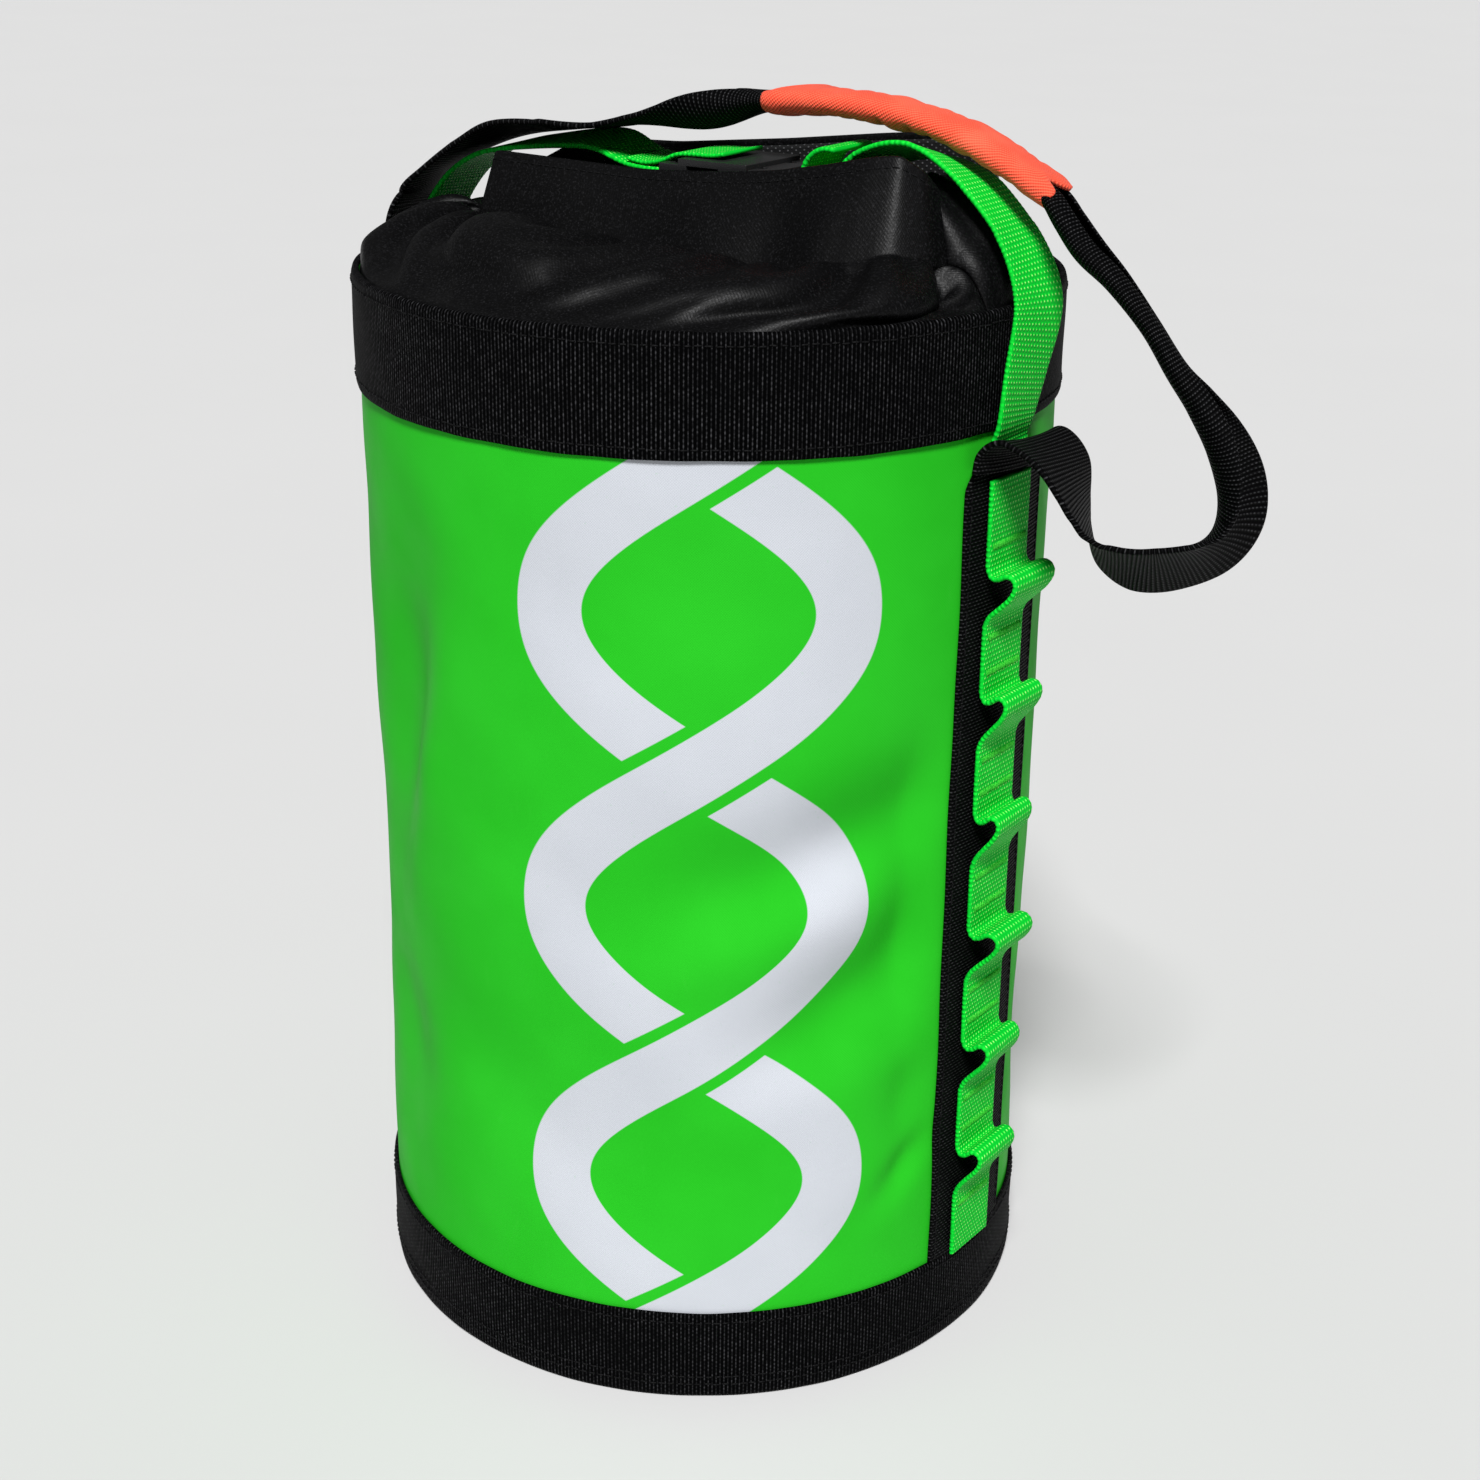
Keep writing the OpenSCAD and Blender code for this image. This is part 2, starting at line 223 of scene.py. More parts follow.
def mat_web(name, dark, mid, light, p_u, p_v, rough, spec, painted_glint_strength, depth, sheen=0.0, rows=0.5, slant=0.0):
    """Woven webbing: rows of small floats across, each row shifted by half, worn and cloudy tone; the gaps between the
    floats are painted darker as shade and the float tops carry painted glints.
    """
    m = Mat(name)
    u, v = m.uv()
    row = m.math("FLOOR", m.math("DIVIDE", v, p_v))
    shift = m.math("MULTIPLY_ADD", m.math("FRACT", m.math("DIVIDE", v, p_v)), slant, m.math("MULTIPLY", row, math.pi))
    dots = m.math("SINE", m.math("MULTIPLY_ADD", u, 2 * math.pi / p_u, shift))
    band = m.math("SUBTRACT", 0.0, m.math("COSINE", m.math("MULTIPLY", v, 2 * math.pi / p_v)))
    lat = m.math("ADD", m.math("MULTIPLY", band, rows),
                 m.math("MULTIPLY", m.math("MULTIPLY", dots, m.math("MULTIPLY_ADD", band, 0.5, 0.5)), 1.0 - rows))
    cloud = m.noise(30, 3)
    # painted shade: the dark colour fills the gaps between the floats, the mid colour their tops
    base = m.mix(m.ramp(lat, -0.75, 0.45), dark, mid)
    base = m.mix(m.ramp(cloud, 0.35, 0.72, 0.0, 0.25), base, dark)
    # painted glints: the light colour is painted on the float tops as small highlights
    painted_glint_mask = m.math("MULTIPLY", m.ramp(lat, 0.45, 0.98), m.ramp(m.noise(2.2, 2), 0.35, 0.62, 0.35, 1.0))
    col = m.mix(m.math("MULTIPLY", painted_glint_mask, painted_glint_strength), base, light)
    m.set(Base_Color=col, Specular_IOR_Level=spec)
    m.set(Roughness=m.ramp(lat, -1, 1, rough + 0.12, rough - 0.08))
    if sheen:
        m.set(Sheen_Weight=sheen, Sheen_Roughness=0.35)
    m.bump(m.math("ADD", lat, m.math("MULTIPLY", m.noise(1.1, 3, 0.7), 0.25)), depth, 0.8)
    return m.mat


def mat_band():
    """Band webbing: fine upright ribs, each a row of small floats painted with grey glints; the furrows between the
    ribs are painted darker as shade.
    """
    m = Mat("black_band")
    u, v = m.uv()
    rib = m.math("MULTIPLY_ADD", m.wave(u, 1.42), 0.5, 0.5)
    shift = m.math("MULTIPLY", m.math("FLOOR", m.math("DIVIDE", m.math("ADD", u, 0.355), 1.42)), math.pi)
    flo = m.math("SINE", m.math("MULTIPLY_ADD", v, 2 * math.pi / 1.7, shift))
    lat = m.math("MULTIPLY", rib, m.math("MULTIPLY_ADD", flo, 0.12, 0.88))
    cloud = m.noise(45, 3)
    # painted shade: the furrows are darker than the rib tops
    col = m.mix(m.ramp(lat, 0.1, 0.9), (0.0001, 0.0001, 0.0002), (0.0010, 0.0010, 0.0012))
    # painted glints: small grey highlights painted on the rib tops
    painted_glint = m.math("MULTIPLY", m.ramp(lat, 0.60, 0.98), m.ramp(m.noise(1.7, 2, 0.6), 0.40, 0.68, 0.16, 1.0))
    col = m.mix(m.math("MULTIPLY", painted_glint, 0.9), col, (0.058, 0.058, 0.062))
    col = m.mix(m.ramp(cloud, 0.35, 0.75, 0.0, 0.5), col, (0.0010, 0.0010, 0.0012))
    m.set(Base_Color=col, Specular_IOR_Level=0.02)
    m.set(Roughness=m.ramp(lat, 0.0, 1.0, 0.68, 0.5))
    m.bump(m.math("ADD", lat, m.math("MULTIPLY", m.noise(1.2, 2), 0.25)), 0.34, 0.9)
    return m.mat


def mat_nylon():
    """Light coated nylon of the collar: close diagonal weave with a satin sheen and small bright picks, which are
    painted glints.
    """
    m = Mat("black_nylon")
    u, v = m.uv()
    tw = m.wave(m.math("MULTIPLY_ADD", u, 0.78, m.math("MULTIPLY", v, 0.62)), 0.95)
    cr = m.wave(m.math("MULTIPLY_ADD", u, 0.62, m.math("MULTIPLY", v, -0.78)), 1.3)
    lat = m.math("ADD", m.math("MULTIPLY", tw, 0.65), m.math("MULTIPLY", cr, 0.35))
    n1 = m.noise(0.8, 2, 0.6)
    cloud = m.noise(22, 3)
    col = m.mix(m.ramp(n1, 0.3, 0.7), (0.0005, 0.0005, 0.0006), (0.0028, 0.0028, 0.0031))
    # painted glints: small bright specks painted on the weave
    painted_glint = m.math("MULTIPLY", m.ramp(n1, 0.52, 0.72), m.ramp(lat, -0.2, 0.9, 0.3, 1.0))
    col = m.mix(m.math("MULTIPLY", painted_glint, 0.6), col, (0.024, 0.024, 0.026))
    col = m.mix(m.ramp(cloud, 0.4, 0.75, 0.0, 0.35), col, (0.0022, 0.0022, 0.0025))
    m.set(Base_Color=col, Specular_IOR_Level=0.10)
    m.set(Roughness=m.ramp(n1, 0.3, 0.7, 0.50, 0.39))
    h = m.math("ADD", m.math("MULTIPLY", lat, 0.09), m.math("MULTIPLY", n1, 0.6))
    m.bump(m.math("ADD", h, m.math("MULTIPLY", m.noise(7.0, 3, 0.55), 0.7)), 0.26, 0.55)
    return m.mat


def mat_mesh_panel():
    """Close honeycomb-like net of the back panel."""
    m = Mat("black_net_panel")
    u, v = m.uv()
    p = 1.75
    a = m.wave(u, p)
    b = m.wave(m.math("MULTIPLY_ADD", u, 0.5, m.math("MULTIPLY", v, 0.866)), p)
    c = m.wave(m.math("MULTIPLY_ADD", u, 0.5, m.math("MULTIPLY", v, -0.866)), p)
    dots = m.math("ADD", m.math("ADD", a, b), c)
    dot = m.ramp(dots, 0.9, 2.3)
    col = m.mix(dot, (0.0085, 0.0086, 0.009), (0.062, 0.063, 0.066))
    m.set(Base_Color=col, Specular_IOR_Level=0.12, Sheen_Weight=0.02, Sheen_Roughness=0.4)
    m.set(Roughness=m.ramp(dot, 0, 1, 0.62, 0.42))
    m.bump(m.math("ADD", dot, m.math("MULTIPLY", m.noise(4, 3), 0.4)), 0.35, 0.8)
    return m.mat


def mat_sleeve():
    """Orange twill of the sleeve: slanted ribs, faded crown, soiled hems."""
    m = Mat("orange_sleeve")
    u, v = m.uv()
    tw = m.wave(m.math("ADD", m.math("MULTIPLY", u, 0.80), m.math("MULTIPLY", v, 0.60)), 1.05)
    fine = m.wave(m.math("ADD", m.math("MULTIPLY", u, 0.6), m.math("MULTIPLY", v, -0.8)), 0.8)
    lat = m.math("ADD", m.math("MULTIPLY", tw, 0.7), m.math("MULTIPLY", fine, 0.3))
    cloud = m.noise(18, 3)
    col = m.mix(m.ramp(lat, -0.9, 0.8), (0.70, 0.045, 0.018), (0.90, 0.125, 0.062))
    col = m.mix(m.ramp(cloud, 0.4, 0.7, 0.0, 0.35), col, (0.92, 0.17, 0.09))
    soil = m.ramp(m.noise(3.0, 5, 0.7), 0.62, 0.80, 0.0, 0.30)
    col = m.mix(soil, col, (0.42, 0.05, 0.03))
    m.set(Base_Color=col, Specular_IOR_Level=0.2, Sheen_Weight=0.06, Sheen_Roughness=0.45)
    m.set(Roughness=m.ramp(lat, -1, 1, 0.80, 0.62))
    m.bump(m.math("ADD", lat, m.math("MULTIPLY", m.noise(6, 3), 1.6)), 0.22, 0.8)
    return m.mat


def mat_plastic(name="buckle_plastic", tone=0.010):
    """Moulded plastic: fine spark texture, brighter worn edges."""
    m = Mat(name)
    grain = m.noise(0.35, 3, 0.6)
    wear = m.ramp(m.noise(6, 5, 0.7), 0.58, 0.75, 0.0, 0.5)
    col = m.mix(wear, (tone, tone, tone * 1.06), (tone * 2.6, tone * 2.6, tone * 2.7))
    m.set(Base_Color=col, Specular_IOR_Level=0.5)
    m.set(Roughness=m.ramp(grain, 0.3, 0.7, 0.34, 0.52))
    m.bump(grain, 0.05, 0.6)
    return m.mat


def mat_tape():
    """Hook and loop tape: dense short pile."""
    m = Mat("hook_and_loop")
    f = m.noise(0.8, 4, 0.8, distortion=1.5)
    col = m.mix(m.ramp(f, 0.35, 0.7), (0.006, 0.006, 0.006), (0.05, 0.05, 0.052))
    m.set(Base_Color=col, Specular_IOR_Level=0.15, Sheen_Weight=0.08, Sheen_Roughness=0.5)
    m.set(Roughness=m.ramp(f, 0.3, 0.7, 0.95, 0.8))
    m.bump(f, 0.7, 1.0)
    return m.mat


def mat_thread(name, a, b, spec):
    m = Mat(name)
    n = m.noise(0.6, 2)
    m.set(Base_Color=m.mix(m.ramp(n, 0.35, 0.65), a, b), Specular_IOR_Level=spec)
    m.set(Roughness=m.ramp(n, 0.3, 0.7, 0.7, 0.5))
    m.bump(n, 0.08, 0.7)
    return m.mat


def mat_liner():
    m = Mat("liner_plastic")
    n = m.noise(1.8, 4)
    cloud = m.noise(50, 3)
    col = m.mix(m.ramp(n, 0.35, 0.7), (0.42, 0.42, 0.40), (0.52, 0.52, 0.50))
    col = m.mix(m.ramp(cloud, 0.45, 0.75, 0.0, 0.4), col, (0.34, 0.335, 0.31))
    m.set(Base_Color=col, Specular_IOR_Level=0.35)
    m.set(Roughness=m.ramp(cloud, 0.3, 0.7, 0.45, 0.6))
    m.bump(n, 0.12, 0.6)
    return m.mat


def mat_floor():
    m = Mat("pale_floor")
    n = m.noise(240, 3)
    m.set(Base_Color=m.mix(m.ramp(n, 0.3, 0.7), (0.548, 0.548, 0.547), (0.552, 0.552, 0.551)),
          Roughness=0.8, Specular_IOR_Level=0.15)
    return m.mat


M_WALL = mat_wall()
M_BAND = mat_band()
M_NYLON = mat_nylon()
M_NET = mat_mesh_panel()
M_SLEEVE = mat_sleeve()
M_PLASTIC = mat_plastic()
M_HOOP = mat_plastic("rim_hoop_plastic", 0.014)
M_BASE = mat_plastic("base_plastic", 0.012)
M_TAPE = mat_tape()
M_LINER = mat_liner()
# in each webbing the last colour is its painted glint, and the first is also its painted shade between the floats
M_GREEN = mat_web("green_webbing", (0.0, 0.33, 0.018), (0.003, 0.64, 0.032), (0.46, 0.95, 0.26),
                  1.75, 1.75, 0.55, 0.08, 0.95, 0.26, rows=0.28, slant=1.5)
M_BLACKWEB = mat_web("black_webbing", (0.0003, 0.0003, 0.0004), (0.0028, 0.0028, 0.0031), (0.064, 0.065, 0.068),
                     1.9, 1.3, 0.58, 0.03, 0.65, 0.34, rows=0.72)
M_THREAD_G = mat_thread("green_thread", (0.006, 0.30, 0.013), (0.05, 0.52, 0.036), 0.1)
M_THREAD_B = mat_thread("black_thread", (0.0015, 0.0015, 0.0017), (0.0075, 0.0075, 0.008), 0.06)

# ---------------------------------------------------------------- mesh helpers


def add_mesh(name, verts, quads, uvs, mat, smooth=True, fix=True):
    """verts in mm, quads (n,4) or a list of faces, uvs per face corner in mm."""
    me = bpy.data.meshes.new(name)
    faces = quads if isinstance(quads, list) else quads.tolist()
    me.from_pydata((np.asarray(verts, float) * MM).tolist(), [], faces)
    if uvs is not None:
        lay = me.uv_layers.new(name="UVMap")
        lay.data.foreach_set("uv", (np.asarray(uvs, np.float32).reshape(-1, 2) * 0.01).ravel())
    if fix:
        bm = bmesh.new()
        bm.from_mesh(me)
        bmesh.ops.recalc_face_normals(bm, faces=bm.faces)
        bm.to_mesh(me)
        bm.free()
    me.materials.append(mat)
    if smooth:
        me.polygons.foreach_set("use_smooth", [True] * len(me.polygons))
    me.update()
    ob = bpy.data.objects.new(name, me)
    scene.collection.objects.link(ob)
    return ob


def loft(name, P, mat, u, v, wrap=True, caps=True, close_v=False, smooth=True):
    """P (n, m, 3) in mm: n rings of m points. u has m (+1 if wrap) entries, v n (+1 if close_v)."""
    n, m = P.shape[:2]
    idx = np.arange(n * m).reshape(n, m)
    rows = n if close_v else n - 1
    cols = m if wrap else m - 1
    i, j = np.meshgrid(np.arange(rows), np.arange(cols), indexing="ij")
    i2, j2 = (i + 1) % n, (j + 1) % m
    quads = np.stack([idx[i, j], idx[i, j2], idx[i2, j2], idx[i2, j]], -1).reshape(-1, 4)
    u, v = np.asarray(u, float), np.asarray(v, float)
    uv = np.stack([np.stack([u[j], v[i]], -1), np.stack([u[j + 1], v[i]], -1),
                   np.stack([u[j + 1], v[i + 1]], -1), np.stack([u[j], v[i + 1]], -1)], 2).reshape(-1, 2)
    faces = quads.tolist()
    uvl = uv.tolist()
    if caps and wrap and not close_v:
        for ring, vv in ((idx[0][::-1], v[0]), (idx[-1], v[-1])):
            faces.append(ring.tolist())
            uvl += [[0.0, float(vv)]] * m
    return add_mesh(name, P.reshape(-1, 3), faces, np.array(uvl), mat, smooth)


def smooth_path(p, n=24):
    """Smooth curve through points, the same rule as the part's own paths."""
    p = np.asarray(p, float)
    out = []
    for i in range(len(p) - 1):
        a, b, c, d = p[max(i - 1, 0)], p[i], p[i + 1], p[min(i + 2, len(p) - 1)]
        for k in range(n):
            t = k / n
            out.append(0.5 * (2 * b + (c - a) * t + (2 * a - 5 * b + 4 * c - d) * t * t
                              + (3 * b - a - 3 * c + d) * t ** 3))
    out.append(p[-1])
    return np.array(out)


def resample(p, step, extra=None):
    """Points at even steps along p; extra (n, k) is carried along."""
    seg = np.linalg.norm(np.diff(p, axis=0), axis=1)
    s = np.concatenate([[0], np.cumsum(seg)])
    n = max(2, int(round(s[-1] / step)) + 1)
    t = np.linspace(0, s[-1], n)
    q = np.stack([np.interp(t, s, p[:, k]) for k in range(p.shape[1])], -1)
    if extra is None:
        return q, t
    e = np.stack([np.interp(t, s, extra[:, k]) for k in range(extra.shape[1])], -1)
    return q, t, e


def tangents(c):
    t = np.gradient(c, axis=0)
    return t / np.linalg.norm(t, axis=1)[:, None]


def unit(a):
    return a / np.maximum(np.linalg.norm(a, axis=-1, keepdims=True), 1e-12)


def web_section(h, t, nw):
    """Flat webbing section with soft edges: (across, out, u) around the outline."""
    e = t * 0.55
    w = np.linspace(-h + e, h - e, nw)
    ang = np.radians([55, 0, -55])
    pts = [(x, t / 2, x) for x in w]
    pts += [(h - e + e * math.cos(a), t / 2 * math.sin(a), h) for a in ang]
    pts += [(x, -t / 2, x) for x in w[::-1]]
    pts += [(-h + e - e * math.cos(a), t / 2 * math.sin(a), -h) for a in ang[::-1]]
    return np.array(pts)


def ribbon(name, C, W, h, t, mat, nw=8, bead=0.0, bead_pitch=1.4, v0=0.0, crown=0.0):
    """Webbing along centres C with width directions W (unit)."""
    C = np.asarray(C, float)
    T = tangents(C)
    W = unit(W - (W * T).sum(1)[:, None] * T)
    N = np.cross(T, W)
    s = np.concatenate([[0], np.cumsum(np.linalg.norm(np.diff(C, axis=0), axis=1))]) + v0
    sec = web_section(h, t, nw)
    scale = 1 + bead / h * np.sin(2 * np.pi * s / bead_pitch) if bead else np.ones(len(C))
    edge = np.clip((np.abs(sec[:, 0]) - h * 0.9) / (h * 0.1), 0, 1)
    sc = 1 + (scale[:, None] - 1) * edge[None]
    bow = crown * (1 - (sec[:, 0] / h) ** 2)
    P = (C[:, None] + W[:, None] * (sec[None, :, 0] * sc)[..., None]
         + N[:, None] * (sec[:, 1] + bow)[None, :, None])
    return loft(name, P, mat, np.append(sec[:, 2], sec[0, 2]), s)


def side_ribbon(name, path_xz, h, t, mat, step=0.5, y=0.0, roll=None, sway=None, **kw):
    """Webbing along a side-view path; roll: (x, degrees) rows that raise the far edge;
    sway: (run, y, degrees) rows that shift the webbing and turn its far edge outwards."""
    p = smooth_path(path_xz)
    q, _ = resample(p, step)
    C = np.stack([q[:, 0], np.full(len(q), y), q[:, 1]], -1)
    run = np.concatenate([[0], np.cumsum(np.linalg.norm(np.diff(q, axis=0), axis=1))])
    out = 0 * run
    if sway:
        rows = np.asarray(sway, float)
        fine = smooth_path(rows, 12)
        C[:, 1] += np.interp(run, fine[:, 0], fine[:, 1])
        out = np.radians(np.interp(run, fine[:, 0], fine[:, 2]))
    a = np.zeros(len(C))
    if roll:
        a = np.radians(np.interp(q[:, 0], [x for x, _ in roll], [d for _, d in roll]))
    W = np.stack([np.sin(out), np.cos(a) * np.cos(out), np.sin(a)], -1)
    return ribbon(name, C, W, h, t, mat, **kw)


def turn_z(P, deg):
    """Turns points or directions about the bag's axis."""
    P = np.asarray(P, float)
    c, k = math.cos(math.radians(deg)), math.sin(math.radians(deg))
    return np.stack([P[..., 0] * c - P[..., 1] * k, P[..., 0] * k + P[..., 1] * c, P[..., 2]], -1)


def stitches(name, centres, along, normal, length, radius, mat, sides=6):
    """Many small thread bars in one mesh: rounded bars that dip in at both ends."""
    centres, along, normal = (np.asarray(a, float) for a in (centres, along, normal))
    along = unit(along)
    normal = unit(normal - (normal * along).sum(1)[:, None] * along)
    side = np.cross(along, normal)
    tt = np.array([-0.5, -0.42, -0.2, 0.2, 0.42, 0.5])
    rr = np.array([0.25, 0.75, 1.0, 1.0, 0.75, 0.25])
    dip = np.array([-0.9, -0.35, 0.0, 0.0, -0.35, -0.9])
    ang = np.arange(sides) * 2 * np.pi / sides
    n, r = len(centres), len(tt)
    P = (centres[:, None, None] + along[:, None, None] * (tt * length)[None, :, None, None]
         + normal[:, None, None] * ((dip * radius)[:, None] + (rr * radius)[:, None] * np.sin(ang)[None])[None, ..., None]
         + side[:, None, None] * ((rr * radius)[:, None] * np.cos(ang)[None])[None, ..., None])
    verts = P.reshape(-1, 3)
    faces = []
    base = np.arange(r * sides).reshape(r, sides)
    one = []
    for i in range(r - 1):
        for j in range(sides):
            one.append([base[i, j], base[i, (j + 1) % sides], base[i + 1, (j + 1) % sides], base[i + 1, j]])
    capa, capb = base[0][::-1].tolist(), base[-1].tolist()
    for k in range(n):
        o = k * r * sides
        faces += [[a + o for a in f] for f in one]
        faces.append([a + o for a in capa])
        faces.append([a + o for a in capb])
    return add_mesh(name, verts, faces, None, mat)


def subdivide(ob, levels=1):
    m = ob.modifiers.new("smooth", "SUBSURF")
    m.levels = m.render_levels = levels
    apply_mods(ob)


def apply_mods(ob):
    dg = bpy.context.evaluated_depsgraph_get()
    me = bpy.data.meshes.new_from_object(ob.evaluated_get(dg), preserve_all_data_layers=True, depsgraph=dg)
    old = ob.data
    ob.modifiers.clear()
    ob.data = me
    me.name = ob.name
    if old.users == 0:
        bpy.data.meshes.remove(old)


def put(ob, body, slot, *nodes):
    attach(ob, body)
    if nodes:
        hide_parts(*nodes)
    return ob


# ---------------------------------------------------------------- wall, liner, bands

# soft dents of the wall: azimuth, height, half sizes along and across, turn, depth
DENTS = [
    (-33, 213, 44, 15, 16, -5.2), (-41, 187, 34, 9, 22, 1.6), (-31, 155, 32, 13, 30, -4.6),
    (-20, 176, 9, 30, 0, -2.4), (-16.5, 86, 15, 5, 38, -2.6), (-19, 112, 9, 16, 0, -1.6),
    (-19, 128, 10, 9, 10, 1.2), (-118, 244, 15, 42, -12, -6.0), (-108, 228, 9, 34, -14, 1.5),
    (-121, 112, 15, 24, 8, -3.4), (-75, 300, 40, 16, 6, -0.9), (-88, 120, 42, 22, -18, -1.3),
    (-64, 92, 40, 14, 8, -0.8), (48, 232, 24, 30, 20, -4.2), (74, 150, 34, 14, -24, -3.4),
    (112, 262, 30, 16, 12, -3.0), (134, 128, 20, 34, 10, -4.0), (30, 110, 14, 26, 0, -2.6),
    (90, 80, 40, 12, 6, -1.4), (158, 210, 10, 30, 0, -2.2), (-150, 150, 18, 30, -10, -3.0),
    (-154, 280, 14, 22, 10, -1.8),
]


def smoothstep(x, a, b):
    t = np.clip((x - a) / (b - a), 0, 1)
    return t * t * (3 - 2 * t)


def dent(az, z):
    """Radial offset of the wall in mm at azimuth az (degrees) and height z."""
    az, z = np.broadcast_arrays(np.asarray(az, float), np.asarray(z, float))
    d = np.zeros(az.shape)
    for a0, z0, sa, sz, turn, amp in DENTS:
        x = ((az - a0 + 180) % 360 - 180) * math.radians(1) * WALL_R
        y = z - z0
        c, s = math.cos(math.radians(turn)), math.sin(math.radians(turn))
        p, q = x * c + y * s, -x * s + y * c
        d = d + amp * np.exp(-0.5 * ((p / sa) ** 2 + (q / sz) ** 2))
    d = d + 0.35 * np.sin(np.radians(az) * 5 + z * 0.021) * np.sin(z * 0.033 + 1.2)
    d = d + 0.18 * np.sin(np.radians(az) * 13 + z * 0.05 + 0.7) * np.sin(z * 0.07)
    sewn = np.minimum(np.abs((az + 181.5) % 360 - 180), np.abs(az % 360 - 180))
    keep = 0.12 + 0.88 * smoothstep(sewn, 10.5, 20)
    return 1.5 * d * keep * smoothstep(z, 34, 62) * (1 - smoothstep(z, 322, 352))


def polar(r, az, z):
    a = np.radians(az)
    return np.stack([r * np.cos(a), r * np.sin(a), z + 0 * r], -1)


def shell(name, ro, ri, z0, z1, mat, n_az=360, n_z=120):
    az = -180 + np.arange(n_az) * 360.0 / n_az
    z = np.linspace(z0, z1, n_z)
    A, Z = np.meshgrid(az, z, indexing="xy")
    D = dent(A, Z)
    outer, inner = polar(ro + D, A, Z), polar(ri + D, A, Z)
    P = np.concatenate([outer, inner[::-1]])
    u = np.radians(-180 + np.arange(n_az + 1) * 360.0 / n_az) * WALL_R
    v = np.concatenate([z, z[::-1], z[:1]])
    return loft(name, P, mat, u, v, wrap=True, caps=False, close_v=True)


wall = put(shell("wall_fabric", 123.25, 122.05, 2.6, 388.5, M_WALL), "bag", "green_coated_fabric", "body_wall")
liner = put(shell("wall_liner_sheet", 122.0, 120.5, 2.6, 376.0, M_LINER, 240, 80), "bag", "liner_plastic", "wall_liner")
# thin black tape that faces the inside of the rim
put(shell("top_band_facing", 122.03, 121.97, 376.2, 388.5, M_BAND, 360, 6), "bag", "black_band")


def band(name, prof, mat, n_az=720, wave=0.12):
    """Sewn band: a closed outline (r, z) turned round, a little uneven along its edges."""
    prof = np.asarray(prof, float)
    az = -180 + np.arange(n_az) * 360.0 / n_az
    a = np.radians(az)
    wob = wave * (np.sin(a * 9 + 0.4) + 0.7 * np.sin(a * 23 + 1.9) + 0.4 * np.sin(a * 41))
    zmid = prof[:, 1].mean()
    share = (prof[:, 1] - zmid) / np.abs(prof[:, 1] - zmid).max()
    Z = prof[:, None, 1] + share[:, None] * wob[None] * 0.9
    Rr = prof[:, None, 0] + 0.10 * np.sin(a * 17 + prof[:, None, 1] * 0.2)[...] * (prof[:, None, 0] > 124.3)
    P = polar(Rr, np.broadcast_to(az, Rr.shape), Z)
    u = np.radians(-180 + np.arange(n_az + 1) * 360.0 / n_az) * 125.0
    v = np.concatenate([prof[:, 1], prof[:1, 1]])
    return loft(name, P, mat, u, v, wrap=True, caps=False, close_v=True)


def arc(z0, z1, n):
    return list(np.linspace(z0, z1, n))


top_prof = ([(123.32, 351.0), (123.5, 350.2), (124.2, 349.9), (124.75, 350.3), (125.0, 351.2)]
            + [(125.0, z) for z in arc(352.5, 386.5, 22)]
            + [(124.95, 388.2), (124.6, 389.4), (123.9, 390.0), (123.0, 390.05), (122.3, 389.8), (122.1, 389.2)]
            + [(123.32, 388.6)])
bot_prof = ([(122.6, 0.5), (123.4, 0.35), (124.2, 0.7), (124.75, 1.6), (124.98, 3.0)]
            + [(125.0, z) for z in arc(4.5, 33.5, 20)]
            + [(125.0, 35.0), (124.7, 35.8), (124.1, 36.1), (123.5, 35.8), (123.32, 35.0)])
top_band = put(band("top_band_webbing", top_prof, M_BAND), "bag", "black_band", "top_band")
bot_band = put(band("bottom_band_webbing", bot_prof, M_BAND), "bag", "black_band", "bottom_band")


def round_stitches(name, r, heights, pitch, length, radius, mat):
    c, t, n = [], [], []
    for z in heights:
        k = int(2 * np.pi * r / pitch)
        a = np.arange(k) * 2 * np.pi / k + z
        jit = rng.normal(0, 0.12, k)
        c.append(np.stack([r * np.cos(a), r * np.sin(a), z + jit], -1))
        t.append(np.stack([-np.sin(a), np.cos(a), rng.normal(0, 0.04, k)], -1))
        n.append(np.stack([np.cos(a), np.sin(a), 0 * a], -1))
    return stitches(name, np.concatenate(c), np.concatenate(t), np.concatenate(n), length, radius, mat)


put(round_stitches("top_band_stitching", 125.12, [353.6, 386.0], 3.3, 2.7, 0.30, M_THREAD_B), "bag", "black_band")
put(round_stitches("bottom_band_stitching", 125.12, [6.2, 9.4, 32.6], 3.3, 2.7, 0.30, M_THREAD_B), "bag", "black_band")

for name, mat in (("base_plate", M_BASE), ("base_cover", M_NYLON), ("rim_hoop", M_HOOP)):
    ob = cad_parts[name]
    ob.data.materials.clear()
    ob.data.materials.append(mat)

# ---------------------------------------------------------------- webbing on the wall


def wall_strip(name, sign):
    z = np.linspace(36.1, 341.0, 180)
    half = 25.0
    sec = web_section(half, 1.6, 26)
    az0 = -1.5 if sign > 0 else 180.0
    w = (sec[:, 0][None] * (1 - 0.2 * smoothstep(z, 331, 341))[:, None]
         + 0.22 * np.sin(z * 0.11 + sign)[:, None] * (np.abs(sec[:, 0]) > 20)[None])
    az = az0 + np.degrees(w / WALL_R)
    Z = np.broadcast_to(z[:, None], az.shape)
    rr = 123.32 + 0.8 + sec[:, 1][None] + dent(az, Z)
    return loft(name, polar(rr, az, Z), M_BLACKWEB, np.append(sec[:, 2], sec[0, 2]), z)


put(wall_strip("wall_webbing_right_strip", 1), "bag", "black_webbing", "wall_webbing_right")
put(wall_strip("wall_webbing_left_strip", -1), "bag", "black_webbing", "wall_webbing_left")


